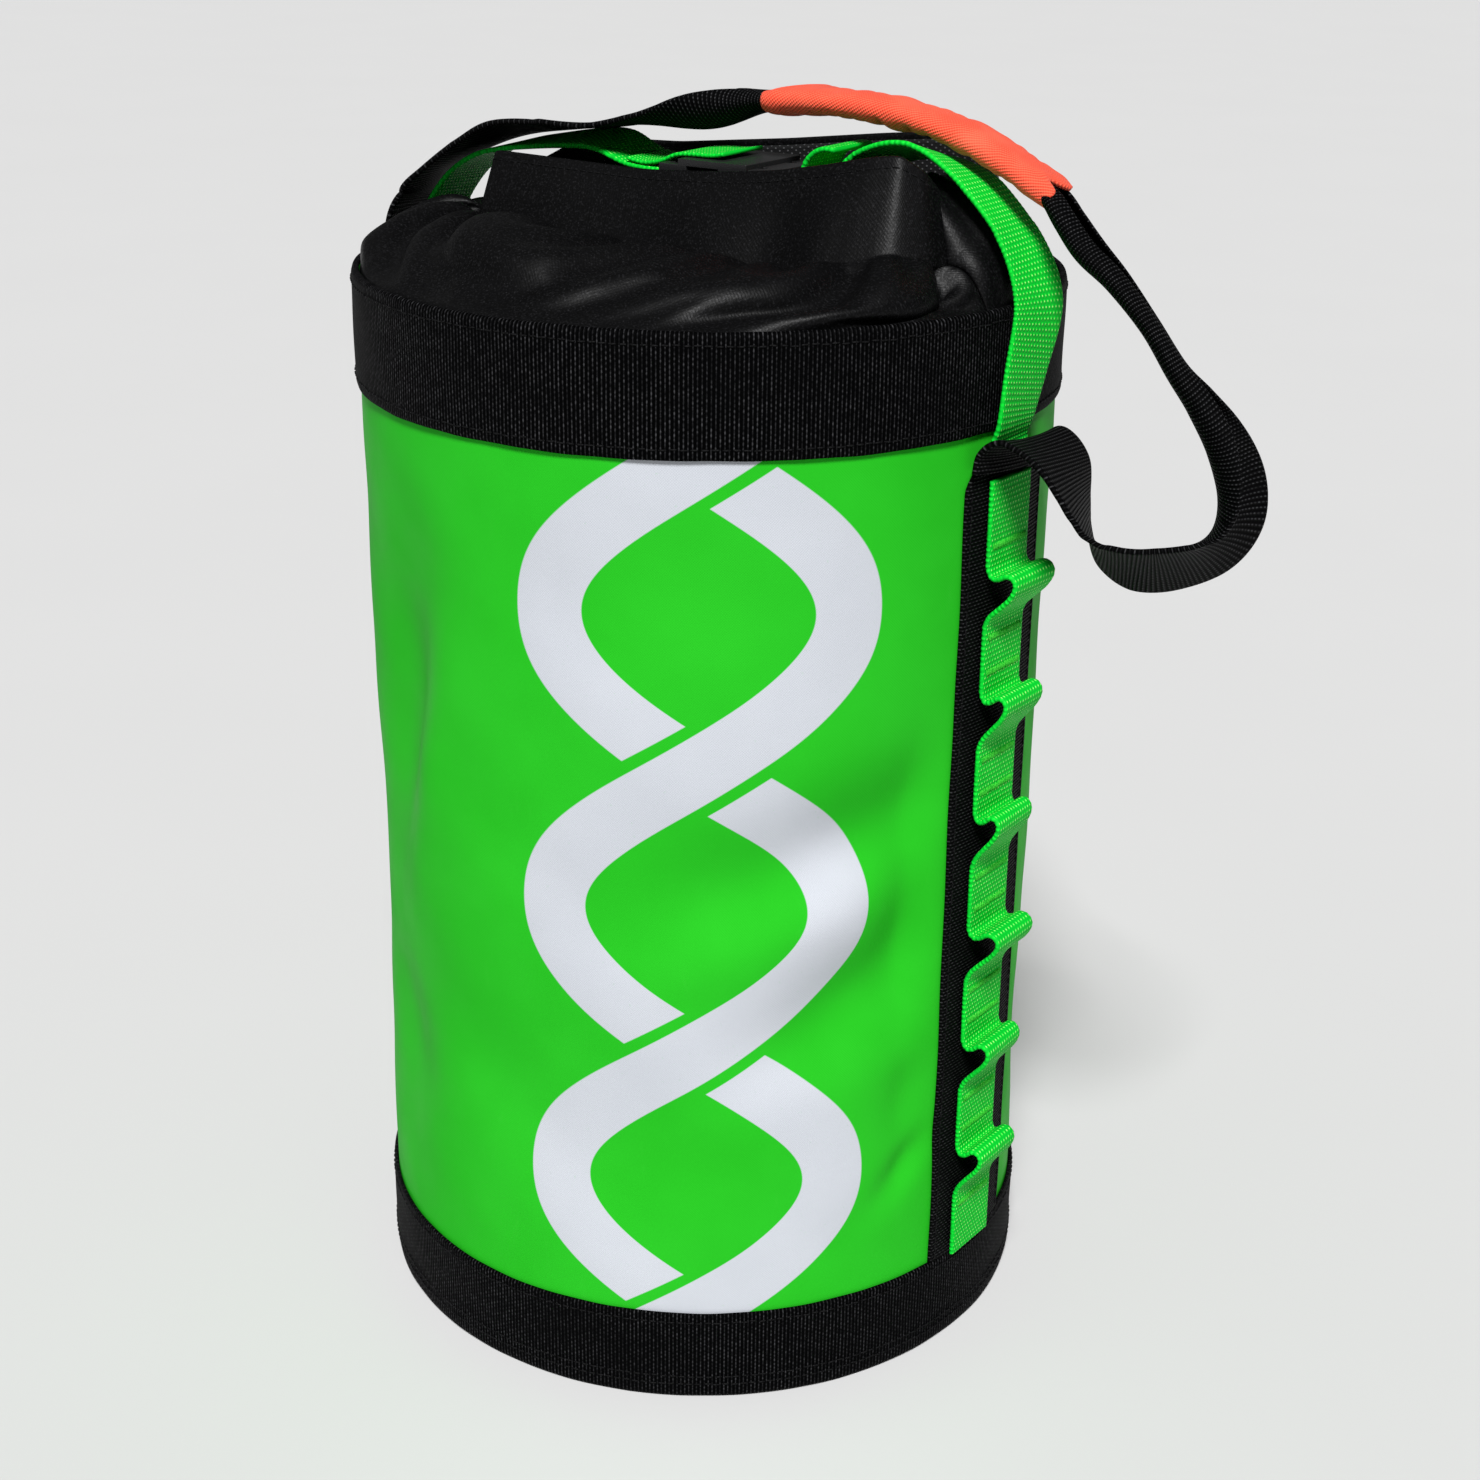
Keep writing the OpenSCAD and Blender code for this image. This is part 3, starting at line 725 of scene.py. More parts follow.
def strip_stitching(name, sign):
    c, t, n = [], [], []
    zz = np.arange(38.5, 330, 3.3)
    az0 = -1.5 if sign > 0 else 180.0
    for w in (-22.6, 22.6):
        az = np.full(len(zz), az0 + math.degrees(w / WALL_R))
        r = 123.32 + 1.6 + 0.1 + dent(az, zz)
        c.append(polar(r, az, zz + rng.normal(0, 0.1, len(zz))))
        t.append(np.tile([0, 0, 1.0], (len(zz), 1)))
        n.append(polar(np.ones(len(zz)), az, 0 * zz))
    return stitches(name, np.concatenate(c), np.concatenate(t), np.concatenate(n), 2.7, 0.30, M_THREAD_B)


put(strip_stitching("wall_webbing_right_stitching", 1), "bag", "black_webbing")
put(strip_stitching("wall_webbing_left_stitching", -1), "bag", "black_webbing")

CHAIN_X = 126.05
LOOP = [(0, 4), (0.2, 0.4), (1.6, -1.9), (3.8, -1.5), (6.2, 0.3), (8.6, 0.5), (10.3, -1.2), (10.2, -4),
        (8.2, -7.6), (4.8, -11.6), (1.7, -15.6), (0.3, -19), (0, -22)]


def chain(name, sign, seed):
    r = np.random.default_rng(seed)
    pts, tilt = [(0, 334.0), (0, 322.0)], [0, 0]
    for i in range(6):
        z0 = 303.5 - 44.4 * i
        k = 0.96 + r.normal(0, 0.05)
        lift = r.normal(0, 0.5)
        lean = r.normal(0, 0.05)
        for x, z in LOOP:
            pts.append((x * k, z + z0 + lift * min(1, x / 6)))
            tilt.append(lean * x)
    pts += [(0, 44.0), (0, 36.4)]
    tilt += [0, 0]
    p = smooth_path(np.column_stack([pts, tilt]))
    q, s = resample(p, 0.45)
    C = np.stack([(CHAIN_X + q[:, 0]) * sign, 0 * q[:, 0], q[:, 1]], -1)
    W = np.tile([0.0, 1.0, 0.0], (len(C), 1))
    W[:, 0] += q[:, 2] * 0.12 * sign
    W[:, 2] += q[:, 2] * 0.06
    if sign > 0:
        C, W = turn_z(C, -3.0), turn_z(W, -3.0)
    return ribbon(name, C, W, 12.5, 1.8, M_GREEN, nw=14, bead=0.16, bead_pitch=1.9)


put(chain("loop_chain_right_webbing", 1, 3), "bag", "green_webbing", "loop_chain_right")
put(chain("loop_chain_left_webbing", -1, 5), "bag", "green_webbing", "loop_chain_left")


def tacks(name, sign):
    c, t, n = [], [], []
    for i in range(6):
        for dz in (8.0, -24.0):
            for y in np.arange(-10.2, 10.3, 0.75):
                c.append(((CHAIN_X + 0.9 + 0.16) * sign, y, 303.5 - 44.4 * i + dz + rng.normal(0, 0.12)))
                t.append((0, 0.16 * (-1) ** len(c), 1.0))
                n.append((sign, 0, 0))
    if sign > 0:
        c, t, n = (turn_z(a, -3.0) for a in (c, t, n))
    return stitches(name, c, t, n, 2.5, 0.34, M_THREAD_G)


put(tacks("bar_tacks_right_thread", 1), "bag", "green_thread", "bar_tacks_right")
put(tacks("bar_tacks_left_thread", -1), "bag", "green_thread", "bar_tacks_left")

# ---------------------------------------------------------------- closing strap

RIGHT_STRAP = [(124.4, 341.5), (124.5, 346), (125.6, 349.5), (126.6, 354), (128.0, 370), (129.4, 384), (129.0, 392),
               (126, 401), (120.6, 410.5), (113.2, 419), (104, 427), (94, 432.2), (86, 434.2), (78, 434.2), (70, 432),
               (63, 428.4), (57, 424), (51.4, 421)]
LEFT_STRAP = [(-124.4, 341.5), (-124.5, 346), (-125.6, 349.5), (-126.6, 354), (-127.4, 370), (-128, 384),
              (-126.5, 393), (-122, 402), (-114, 411), (-103, 418), (-91, 421.6), (-77, 424), (-63, 426),
              (-51, 427.2), (-43, 426.6), (-35, 424.6), (-27, 422.2), (-20, 421.2), (-10.4, 421)]
TAIL = [(45, 419), (45, 424.4), (46.4, 429), (49.6, 432.2), (53.4, 433.6), (57.4, 433.4)]

ob = side_ribbon("closing_strap_right_webbing", RIGHT_STRAP, 12.5, 1.8, M_GREEN, step=0.45, nw=14, bead=0.16,
                 bead_pitch=1.9, roll=[(51, 0), (57, -8), (66, -17), (84, -17), (95, -9), (107, 0)],
                 sway=[(0, -6.4, 0), (12, -6.2, 0), (26, -4.0, 5), (42, -1.2, 10), (56, 0, 9), (72, 0, 4), (90, 0, 0),
                       (200, 0, 0)])
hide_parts("closing_strap_right")
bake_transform(ob)
put(side_ribbon("closing_strap_left_webbing", LEFT_STRAP, 12.5, 1.8, M_GREEN, step=0.45, nw=14, bead=0.16,
                bead_pitch=1.9, roll=[(-112, 0), (-90, 3), (-62, 8), (-46, 9), (-34, 5), (-22, 0)],
                sway=[(0, 0, 0), (24, 0, 0), (46, 3.6, 0), (62, 5.6, 0), (80, 6.8, 0), (100, 7.5, 0), (128, 7.5, 0),
                      (142, 5, 0), (156, 1.8, 0), (170, 0, 0), (260, 0, 0)]),
    "bag", "green_webbing", "closing_strap_left")
STRAP_END = [(-27, 424.0), (-20, 423.1), (-13, 424.2), (-6.5, 426.8), (0, 427.5), (6, 427.6), (10, 427.9), (13.5, 428.6)]
put(side_ribbon("closing_strap_left_end", STRAP_END, 12.5, 1.4, M_GREEN, step=0.45, nw=14, bead=0.16, bead_pitch=1.9),
    "bag", "green_webbing")
put(side_ribbon("strap_tail_webbing", TAIL, 12.5, 1.8, M_GREEN, step=0.45, nw=14, bead=0.16, bead_pitch=1.9),
    "buckle_plug", "green_webbing", "strap_tail")

# ---------------------------------------------------------------- lifting strap and sleeve

LIFT_LEFT = [(-126.9, 337), (-127.6, 342), (-129.8, 350), (-132.8, 362), (-135.2, 376), (-134.8, 390),
             (-129.8, 403), (-120, 414), (-106.5, 421.8), (-90, 426.6), (-66, 430.4), (-42, 434.2), (-14, 440),
             (10, 444)]
LIFT_GRIP = [(22, 445.6), (34, 446.4), (46, 446.6), (60, 446), (74, 444.6), (88, 441.8), (100, 438.2), (112, 433),
             (122, 428.2), (132, 422.8)]
LEAN = math.radians(-5)


def lean(P):
    """The strap leans back about the X line at its foot."""
    Q = P.copy()
    y, z = P[..., 1], P[..., 2] - 347
    Q[..., 1] = y * math.cos(LEAN) - z * math.sin(LEAN)
    Q[..., 2] = 347 + y * math.sin(LEAN) + z * math.cos(LEAN)
    return Q


def curled_strap(name, rows, step=0.9, split=False):
    """rows: x, z, y offset, turn of the width, roll about the run, curl half angle (degrees), flatten.
    split: two lengths that meet at the outermost point of the bend."""
    p = smooth_path(np.asarray(rows, float), 20)
    q, s = resample(p[:, [0, 2, 1]], step)
    seg = np.concatenate([[0], np.cumsum(np.linalg.norm(np.diff(p[:, [0, 2, 1]], axis=0), axis=1))])
    psi, roll, curl, flat = (np.interp(s, seg, p[:, k]) for k in (3, 4, 5, 6))
    C = q
    T = tangents(C)
    psi, roll = np.radians(psi), np.radians(roll)
    W = np.stack([-np.sin(psi), np.cos(psi), 0 * psi], -1)
    W = unit(W - (W * T).sum(1)[:, None] * T)
    N = np.cross(T, W)
    W, N = (W * np.cos(roll)[:, None] + N * np.sin(roll)[:, None],
            N * np.cos(roll)[:, None] - W * np.sin(roll)[:, None])
    sec = web_section(25.0, 2.0, 34)
    th = np.radians(np.where(np.abs(curl) < 0.5, np.where(curl < 0, -0.5, 0.5), curl))
    rho = 25.0 / th
    a = sec[None, :, 0] / rho[:, None]
    rad = rho[:, None] - sec[None, :, 1]
    w = rad * np.sin(a)
    n = (rho[:, None] - rad * np.cos(a)) * flat[:, None]
    n = n - ((1 - np.cos(th)) * rho * flat * 0.5)[:, None]
    P = C[:, None] + W[:, None] * w[..., None] + N[:, None] * n[..., None]
    P, u = lean(P), np.append(sec[:, 2], sec[0, 2])
    if not split:
        return loft(name, P, M_BLACKWEB, u, s)
    k = int(np.argmax(C[:, 0]))
    return (loft(name + "_upper", P[:k + 1], M_BLACKWEB, u, s[:k + 1]),
            loft(name + "_lower", P[k:], M_BLACKWEB, u, s[k:]))


LEFT_ROWS = [  # x, z, y, turn, roll, curl, flatten
    (-124.8, 336, 0, 0, 0, -11.6, 1), (-125.7, 341.5, 0, 0, 0, -10, 1), (-128.8, 350, 0, 2, 0, -4, 1),
    (-132.8, 362, -1, 5, 1, 1, 1), (-135.2, 376.5, 0, 6, 6, 0.6, 1), (-134.8, 393.2, -4.2, 9, 4.2, -4, 1),
    (-129.8, 405.3, -3.4, 21, 2.4, 14, 1), (-120, 413.4, -3.4, 26.5, -1.4, 8, 1), (-106.5, 421.6, -0.4, 17, 0.8, 12.5, 1),
    (-90, 427.8, 1.8, 17.3, -4.6, 8.2, 1), (-66, 431.1, 2.2, 20.5, -3.2, 6, 1), (-53, 432.4, 0, 15, -0.9, 7, 1),
    (-42, 434.1, -0.8, 5.5, 4, 4, 1), (-28, 436.9, 0.2, 0, 6.2, 17.2, 0.98), (-14, 438.9, 0.6, 8, 4.1, 49.2, 0.89),
    (10, 444, 0, 0, 0, 158, 0.5), (22, 445.6, 0, 0, 0, 166, 0.36),
    (34, 446.4, 0, 0, 0, 168, 0.32), (46, 446.6, 0, 0, 0, 168, 0.32), (60, 446, 0, 0, 0, 168, 0.32),
    (74, 444.6, 0, 0, 0, 168, 0.32)]
RIGHT_ROWS = [
    (88, 441.8, 0, 0, 0, 168, 0.32), (100, 438.2, 0, 0, 0, 168, 0.32), (112, 433, 0, 0, 0, 168, 0.32),
    (122, 428.2, 0, 0, 0, 168, 0.32), (130.4, 422.6, -0.6, 1, -2, 163, 0.38), (136.6, 416.2, -2.2, 4, -4, 152, 0.44),
    (144.8, 407.8, -2.9, 8.8, -2, 147, 0.46), (155.6, 399.4, -2.9, 12.6, -4.6, 157, 0.41), (168.2, 386.8, -2.4, 15, -7.4, 164, 0.36),
    (178.1, 374, -0.6, 16.5, -7.4, 157, 0.40), (186.2, 364.0, 3.2, 17.5, -4, 134, 0.51), (193.2, 351.2, 9, 18, 2.4, 98, 0.64),
    (197.2, 336.6, 13.7, 18.8, 9.2, 60, 0.80), (196.2, 323.6, 15, 19.2, 16.6, 29, 0.96), (189.9, 314, 12.5, 18.7, 22.3, 11, 1),
    (178, 308.6, 7.5, 16.8, 26, 5.6, 1), (167.6, 307.7, 2.9, 13, 27, 3.4, 1), (158.9, 310.8, 0.6, 9.4, 24.3, 1.6, 1),
    (153.6, 317, -0.2, 7.0, 18.6, 0.7, 1), (150.3, 324.2, -0.9, 5.2, 14.5, -1.2, 1), (147.6, 330.8, -1.6, 4.0, 10.4, -2.4, 1),
    (144.1, 337.6, -2.1, 3.6, 5.6, -2.4, 1), (138.5, 343.2, -2.5, 2.8, 2.8, -3.4, 1), (132.6, 346.1, -3.0, 1.2, 1.2, -4.4, 1),
    (128.6, 345.2, -3.3, 0, 0, -9, 1), (125.5, 341.2, -3.3, 0, 0, -11.4, 1), (124.8, 335.6, -3.3, 0, 0, -11.6, 1)]
strap_l = curled_strap("lift_strap_left", LEFT_ROWS)
strap_u, strap_r = curled_strap("lift_strap_right", RIGHT_ROWS, split=True)
put(strap_u, "handle", "black_webbing", "lift_strap")
for ob, a, b in ((strap_l, (-0.128, 0, 0.4), (0.004, 0, 0.4)), (strap_r, (0.127, 0, 0.33), (0.176, 0, 0.33))):
    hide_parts("lift_strap")
    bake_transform(ob)


def sleeve(name):
    p = smooth_path(LIFT_GRIP)
    q, s = resample(p, 0.8)
    C = np.stack([q[:, 0], 0 * s, q[:, 1]], -1)
    T = tangents(C)
    W = np.tile([0.0, 1.0, 0.0], (len(C), 1))
    N = np.cross(T, W)
    L = s[-1]
    ang = np.arange(48) * 2 * np.pi / 48
    ca, sa = np.cos(ang), np.sin(ang)
    e = 0.72
    ex, ey = np.sign(ca) * np.abs(ca) ** e, np.sign(sa) * np.abs(sa) ** 0.9
    hw = 12.0 + 0.35 * np.sin(s * 0.13) + 0.25 * np.sin(s * 0.31 + 1)
    ht = 4.75 + 0.25 * np.sin(s * 0.17 + 0.6) + 0.18 * np.sin(s * 0.43)
    endr = np.minimum(smoothstep(s, -2, 5), smoothstep(L - s, -2, 5))
    hw = hw * (0.93 + 0.07 * endr) * (1 - 0.13 * smoothstep(s, L - 34, L))
    ht = ht * (0.86 + 0.14 * endr)
    # pinches along the sewn underside
    pinch = sum(np.exp(-((s - c) / w) ** 2) * a for c, a, w in (
        (L * 0.29, 0.7, 2.2), (L * 0.40, 2.4, 1.5), (L * 0.50, 2.2, 1.5), (L * 0.56, 1.6, 1.6), (L * 0.71, 0.6, 2.2)))
    pinch = pinch - 0.8 * np.exp(-((s - L * 0.45) / 5.0) ** 2)
    low = np.clip(sa * -1, 0, 1)[None] ** 2
    wr = 0.16 * np.sin(s[:, None] * 0.9 + 3 * np.sin(ang)[None] + 2 * np.sin(s * 0.2)[:, None])
    out = P_ring(C, W, N, ex, ey, hw, ht, wr, pinch, low, 1.0)
    inn = P_ring(C, W, N, ex, ey, hw - 1.5, ht - 1.5, wr * 0.5, pinch, low, 1.0)
    # the far layer starts later at the left end, and the right end is slit on top
    far = smoothstep(sa * 0.75 + ca * 0.65, -0.1, 0.9)
    slit = np.exp(-(((ang - 1.9 + np.pi) % (2 * np.pi) - np.pi) / 0.30) ** 2)
    side = smoothstep(ca, 0.1, 1.0)
    move = (15.0 * np.clip(1 - s / 38, 0, 1)[:, None] ** 1.5 * far[None]
            - 5.0 * np.clip(1 - (L - s) / 22, 0, 1)[:, None] ** 1.5 * side[None]
            - 5.5 * np.clip(1 - (L - s) / 15, 0, 1)[:, None] ** 1.5 * slit[None])
    out = out + T[:, None] * move[..., None]
    inn = inn + T[:, None] * move[..., None]
    P = np.concatenate([out, inn[::-1]])
    per = np.concatenate([[0], np.cumsum(np.hypot(np.diff(np.append(ex, ex[0])) * 12, np.diff(np.append(ey, ey[0])) * 4.75))])
    v = np.concatenate([s, s[::-1], s[:1]])
    return loft(name, lean(P), M_SLEEVE, per, v, wrap=True, caps=False, close_v=True)


def P_ring(C, W, N, ex, ey, hw, ht, wr, pinch, low, k):
    w = hw[:, None] * ex[None] * (1 + wr * 0.02)
    n = ht[:, None] * ey[None] + wr * np.abs(ey)[None] + pinch[:, None] * low
    return C[:, None] + W[:, None] * w[..., None] + N[:, None] * n[..., None] * np.sign(N[:, 2])[:, None, None]


put(sleeve("grip_sleeve_twill"), "handle", "orange_sleeve", "grip_sleeve")

# ---------------------------------------------------------------- buckle


def bevelled(name, node, width, body, slot, mat):
    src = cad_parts[node]
    me = src.data.copy()
    me.name = name
    ob = bpy.data.objects.new(name, me)
    scene.collection.objects.link(ob)
    bm = bmesh.new()
    bm.from_mesh(me)
    bmesh.ops.remove_doubles(bm, verts=bm.verts, dist=1e-6)
    bmesh.ops.dissolve_limit(bm, angle_limit=math.radians(2), verts=bm.verts, edges=bm.edges)
    bm.to_mesh(me)
    bm.free()
    me.materials.clear()
    me.materials.append(mat)
    b = ob.modifiers.new("bevel", "BEVEL")
    b.width, b.segments, b.limit_method, b.angle_limit = width * MM, 3, "ANGLE", math.radians(30)
    apply_mods(ob)
    return put(ob, body, slot, node)


bevelled("buckle_socket_moulding", "buckle_socket", 1.0, "bag", "buckle_plastic", M_PLASTIC)
bevelled("buckle_plug_moulding", "buckle_plug", 0.8, "buckle_plug", "buckle_plastic", M_PLASTIC)
bevelled("buckle_prong_front_moulding", "buckle_prong_front", 0.6, "prong_front", "buckle_plastic", M_PLASTIC)
bevelled("buckle_prong_back_moulding", "buckle_prong_back", 0.6, "prong_back", "buckle_plastic", M_PLASTIC)

# ---------------------------------------------------------------- collar


def grid_normals(P):
    du, dv = np.gradient(P, axis=1), np.gradient(P, axis=0)
    return unit(np.cross(du, dv))


def thick_sheet(name, P, t, mat, u, v, normals=None):
    """A cloth grid P (rows, cols, 3) made into a closed sheet of thickness t (rows, cols)."""
    r, c = P.shape[:2]
    N = grid_normals(P) if normals is None else normals
    t = np.broadcast_to(np.asarray(t, float), (r, c))
    a, b = P + N * t[..., None] / 2, P - N * t[..., None] / 2
    ia = np.arange(r * c).reshape(r, c)
    ib = ia + r * c
    i, j = np.meshgrid(np.arange(r - 1), np.arange(c - 1), indexing="ij")
    qa = np.stack([ia[i, j], ia[i, j + 1], ia[i + 1, j + 1], ia[i + 1, j]], -1).reshape(-1, 4)
    qb = np.stack([ib[i, j], ib[i + 1, j], ib[i + 1, j + 1], ib[i, j + 1]], -1).reshape(-1, 4)
    u, v = np.broadcast_to(u, (r, c)), np.broadcast_to(v, (r, c))
    uvg = np.stack([u, v], -1)
    ua = np.stack([uvg[i, j], uvg[i, j + 1], uvg[i + 1, j + 1], uvg[i + 1, j]], 2).reshape(-1, 2)
    ub = np.stack([uvg[i, j], uvg[i + 1, j], uvg[i + 1, j + 1], uvg[i, j + 1]], 2).reshape(-1, 2)
    ring = np.concatenate([np.stack([np.zeros(c, int), np.arange(c)], -1)[:-1],
                           np.stack([np.arange(r), np.full(r, c - 1)], -1)[:-1],
                           np.stack([np.full(c, r - 1), np.arange(c)[::-1]], -1)[:-1],
                           np.stack([np.arange(r)[::-1], np.zeros(r, int)], -1)[:-1]])
    nxt = np.roll(ring, -1, axis=0)
    qe = np.stack([ia[ring[:, 0], ring[:, 1]], ib[ring[:, 0], ring[:, 1]], ib[nxt[:, 0], nxt[:, 1]], ia[nxt[:, 0], nxt[:, 1]]], -1)
    ue = np.stack([uvg[ring[:, 0], ring[:, 1]], uvg[ring[:, 0], ring[:, 1]] + 0.5, uvg[nxt[:, 0], nxt[:, 1]] + 0.5,
                   uvg[nxt[:, 0], nxt[:, 1]]], 1).reshape(-1, 2)
    verts = np.concatenate([a.reshape(-1, 3), b.reshape(-1, 3)])
    return add_mesh(name, verts, np.concatenate([qa, qb, qe]), np.concatenate([ua, ub, ue]), mat)


def pull(X, w, a, b, rest, k):
    """Draws the two ends of many threads towards their own length; a and b are slices of the cloth grid."""
    d = X[b] - X[a]
    ln = np.sqrt((d * d).sum(-1)) + 1e-9
    wa, wb = w[a], w[b]
    f = (k * (ln - rest) / (ln * (wa + wb + 1e-9)))[..., None] * d
    X[a] += f * wa[..., None]
    X[b] -= f * wb[..., None]


def thread_sets(r, c):
    """Pairs of neighbours of an (r, c) grid, in sets that share no point: threads first, then diagonals."""
    S = slice
    out = []
    for p in (0, 1):
        n = (c - p) // 2
        out.append((0.9, (S(None), S(p, p + 2 * n, 2)), (S(None), S(p + 1, p + 2 * n, 2))))
    for p in (0, 1):
        n = (r - p) // 2
        out.append((0.9, (S(p, p + 2 * n, 2), S(None)), (S(p + 1, p + 2 * n, 2), S(None))))
    for p in (0, 1):
        n = (r - p) // 2
        out.append((0.25, (S(p, p + 2 * n, 2), S(0, c - 1)), (S(p + 1, p + 2 * n, 2), S(1, c))))
        out.append((0.25, (S(p, p + 2 * n, 2), S(1, c)), (S(p + 1, p + 2 * n, 2), S(0, c - 1))))
    return out


def stiff_sets(r, c, k, st):
    """Pairs k steps apart, which resist bending."""
    S = slice
    out = []
    for axis in (0, 1):
        n = (r, c)[axis]
        for p in range(2 * k):
            lo = np.arange(p, n - k, 2 * k)
            if len(lo):
                a, b = S(p, lo[-1] + 1, 2 * k), S(p + k, lo[-1] + k + 1, 2 * k)
                out.append((st, (a, S(None)), (b, S(None))) if axis == 0 else (st, (S(None), a), (S(None), b)))
    return out


def drape(rest, target, pin, push, guard, seed, steps=380, move=230, bend=0.05, far=0.03, pressure=60.0, gravity=30.0,
          uneven=0.05):
    """Cloth run: the grid starts at rest, its pinned points travel to target, and the free cloth follows and settles."""
    r, c = rest.shape[:2]
    g = np.random.default_rng(seed)
    w = (pin < 0.5).astype(float)
    f = g.normal(size=(r // 4 + 3, c // 4 + 3))
    yy, xx = np.linspace(0, f.shape[0] - 1.001, r), np.linspace(0, f.shape[1] - 1.001, c)
    i0, j0 = yy.astype(int), xx.astype(int)
    fy, fx = smoothstep(yy - i0, 0, 1)[:, None], smoothstep(xx - j0, 0, 1)[None]
    slow = (f[i0][:, j0] * (1 - fy) * (1 - fx) + f[i0 + 1][:, j0] * fy * (1 - fx)
            + f[i0][:, j0 + 1] * (1 - fy) * fx + f[i0 + 1][:, j0 + 1] * fy * fx)
    scale = 1 + uneven * slow
    sets = []
    for st, a, b in thread_sets(r, c) + stiff_sets(r, c, 2, bend) + stiff_sets(r, c, 5, far):
        sets.append((a, b, np.linalg.norm(rest[b] - rest[a], axis=-1) * 0.5 * (scale[a] + scale[b]), st))
    X = rest + g.normal(size=rest.shape) * 0.15 * w[..., None]
    V = np.zeros_like(X)
    fixed = w < 0.5
    dt = 1 / 60
    for n in range(steps):
        t = min(1.0, n / move)
        t = t * t * (3 - 2 * t)
        N = unit(np.cross(np.gradient(X, axis=1), np.gradient(X, axis=0)))
        V = V * 0.97 + N * (push * pressure * (1.0 if n < move else 0.5) * dt)[..., None]
        V[..., 2] -= gravity * dt
        old = X
        X = X + V * dt * w[..., None]
        X[fixed] = (rest * (1 - t) + target * t)[fixed]
        for _ in range(2):
            for a, b, L, k in sets:
                pull(X, w, a, b, L, k)
        guard(X, w, t)
        V = (X - old) / dt
        V *= np.minimum(1.0, 400.0 / (np.linalg.norm(V, axis=-1, keepdims=True) + 1e-9))
    return X


def even_out(P, pin, n):
    """Evens out the smallest ripples of the free cloth."""
    P = P.copy()
    free = (pin < 0.5)[..., None]
    for _ in range(n):
        Q = P.copy()
        Q[1:-1, 1:-1] = 0.5 * P[1:-1, 1:-1] + 0.125 * (P[:-2, 1:-1] + P[2:, 1:-1] + P[1:-1, :-2] + P[1:-1, 2:])
        P = np.where(free, Q, P)
    return P


RIM_R, RIM_Z = 121.2, 387.5
N_U, N_FREE, N_FACE = 171, 50, 13


def collar_panel(sign, lip, face, steep, slack, turn, bulge, lift, tilt):
    """Rest grid (standing on the rim), target grid and pins of one half of the collar; the front has sign -1.
    lip rows: share along the rim, x, y, z of the lip's edge; the other tables: share, value."""
    u = np.linspace(0, 1, N_U)
    lip = np.asarray(lip, float)
    L = np.stack([np.interp(u, lip[:, 0], lip[:, k]) for k in (1, 2, 3)], -1)
    for _ in range(3):
        e = np.concatenate([L[:1], L[:1], L, L[-1:], L[-1:]])
        L = (e[:-4] + 4 * e[1:-3] + 6 * e[2:-2] + 4 * e[3:-1] + e[4:]) / 16.0
    val = lambda rows: np.interp(u, [q[0] for q in rows], [q[1] for q in rows])
    fh, tn, inw = val(face), np.radians(val(turn)), val(tilt)[:, None]
    a = np.radians(-172.0 + 164.0 * u)
    rim = np.stack([RIM_R * np.cos(a), RIM_R * np.sin(a), np.full(N_U, RIM_Z)], -1)
    out = np.stack([np.sin(tn), -np.cos(tn), 0 * u], -1)
    foot = L + unit(out * val(steep)[:, None] - np.array([0, 0, 1.0])) * fh[:, None]
    free = np.linalg.norm(foot - rim, axis=1) * val(slack) + val(lift)
    swell = bulge(L[:, 0])
    T, V = [], []
    for q in np.linspace(0, 1, N_FREE):
        T.append(rim * (1 - q) + foot * q)
        V.append(free * q)
    T[-1] = T[-1] + out * (swell * math.sin(math.pi * 0.62))[:, None]
    for q in np.linspace(0, 1, N_FACE)[1:]:
        T.append(foot * (1 - q) + L * q + out * (swell * math.sin(math.pi * (1 - q) * 0.62))[:, None])
        V.append(free + fh * q)
    T, V = np.array(T), np.array(V)
    R = np.stack([np.broadcast_to(rim[:, 0], V.shape), np.broadcast_to(rim[:, 1], V.shape), RIM_Z + V], -1)
    up = np.array([0, 0, 1.0])
    T[1] = rim + unit(unit(foot - rim) * inw + up * (1.0 - 0.8 * inw)) * (free / (N_FREE - 1))[:, None]
    pin = np.zeros(V.shape)
    pin[:2] = pin[N_FREE - 1:] = 1.0
    for j in (0, -1):
        T[:N_FREE, j, 2] += 5.0 * np.sin(np.pi * np.linspace(0, 1, N_FREE))
        pin[:, j] = 1.0
    for P in (T, R, out):
        P[..., 1] *= -sign
    return R, T, pin, np.broadcast_to(a * RIM_R, V.shape), V, out


def collar_guard(sign, T):
    """Keeps the cloth above the rim and on the outer side of the standing face."""
    foot, lip = T[N_FREE - 1], T[-1]

    def guard(X, w, t):
        on = w > 0
        r = np.hypot(X[..., 0], X[..., 1])
        most = 121.5 + 3.0 * smoothstep(X[..., 2], 390.6, 394.5)
        X[..., :2] *= np.where(on, np.minimum(1.0, most / np.maximum(r, 1.0)), 1.0)[..., None]
        X[..., 2] = np.where(on, np.maximum(X[..., 2], 388.8 + 9.5 * smoothstep(118 - r, 0, 26)), X[..., 2])
        if t >= 1:
            zf = np.clip((X[..., 2] - foot[None, :, 2]) / (lip[None, :, 2] - foot[None, :, 2]), 0, 1)
            yf = foot[None, :, 1] * (1 - zf) + lip[None, :, 1] * zf
            y = X[..., 1]
            X[..., 1] = np.where(on, np.minimum(y, yf - 1.4) if sign < 0 else np.maximum(y, yf + 1.4), y)
    return guard


def hump(x, c, s):
    return np.exp(-((x - c) / s) ** 2)


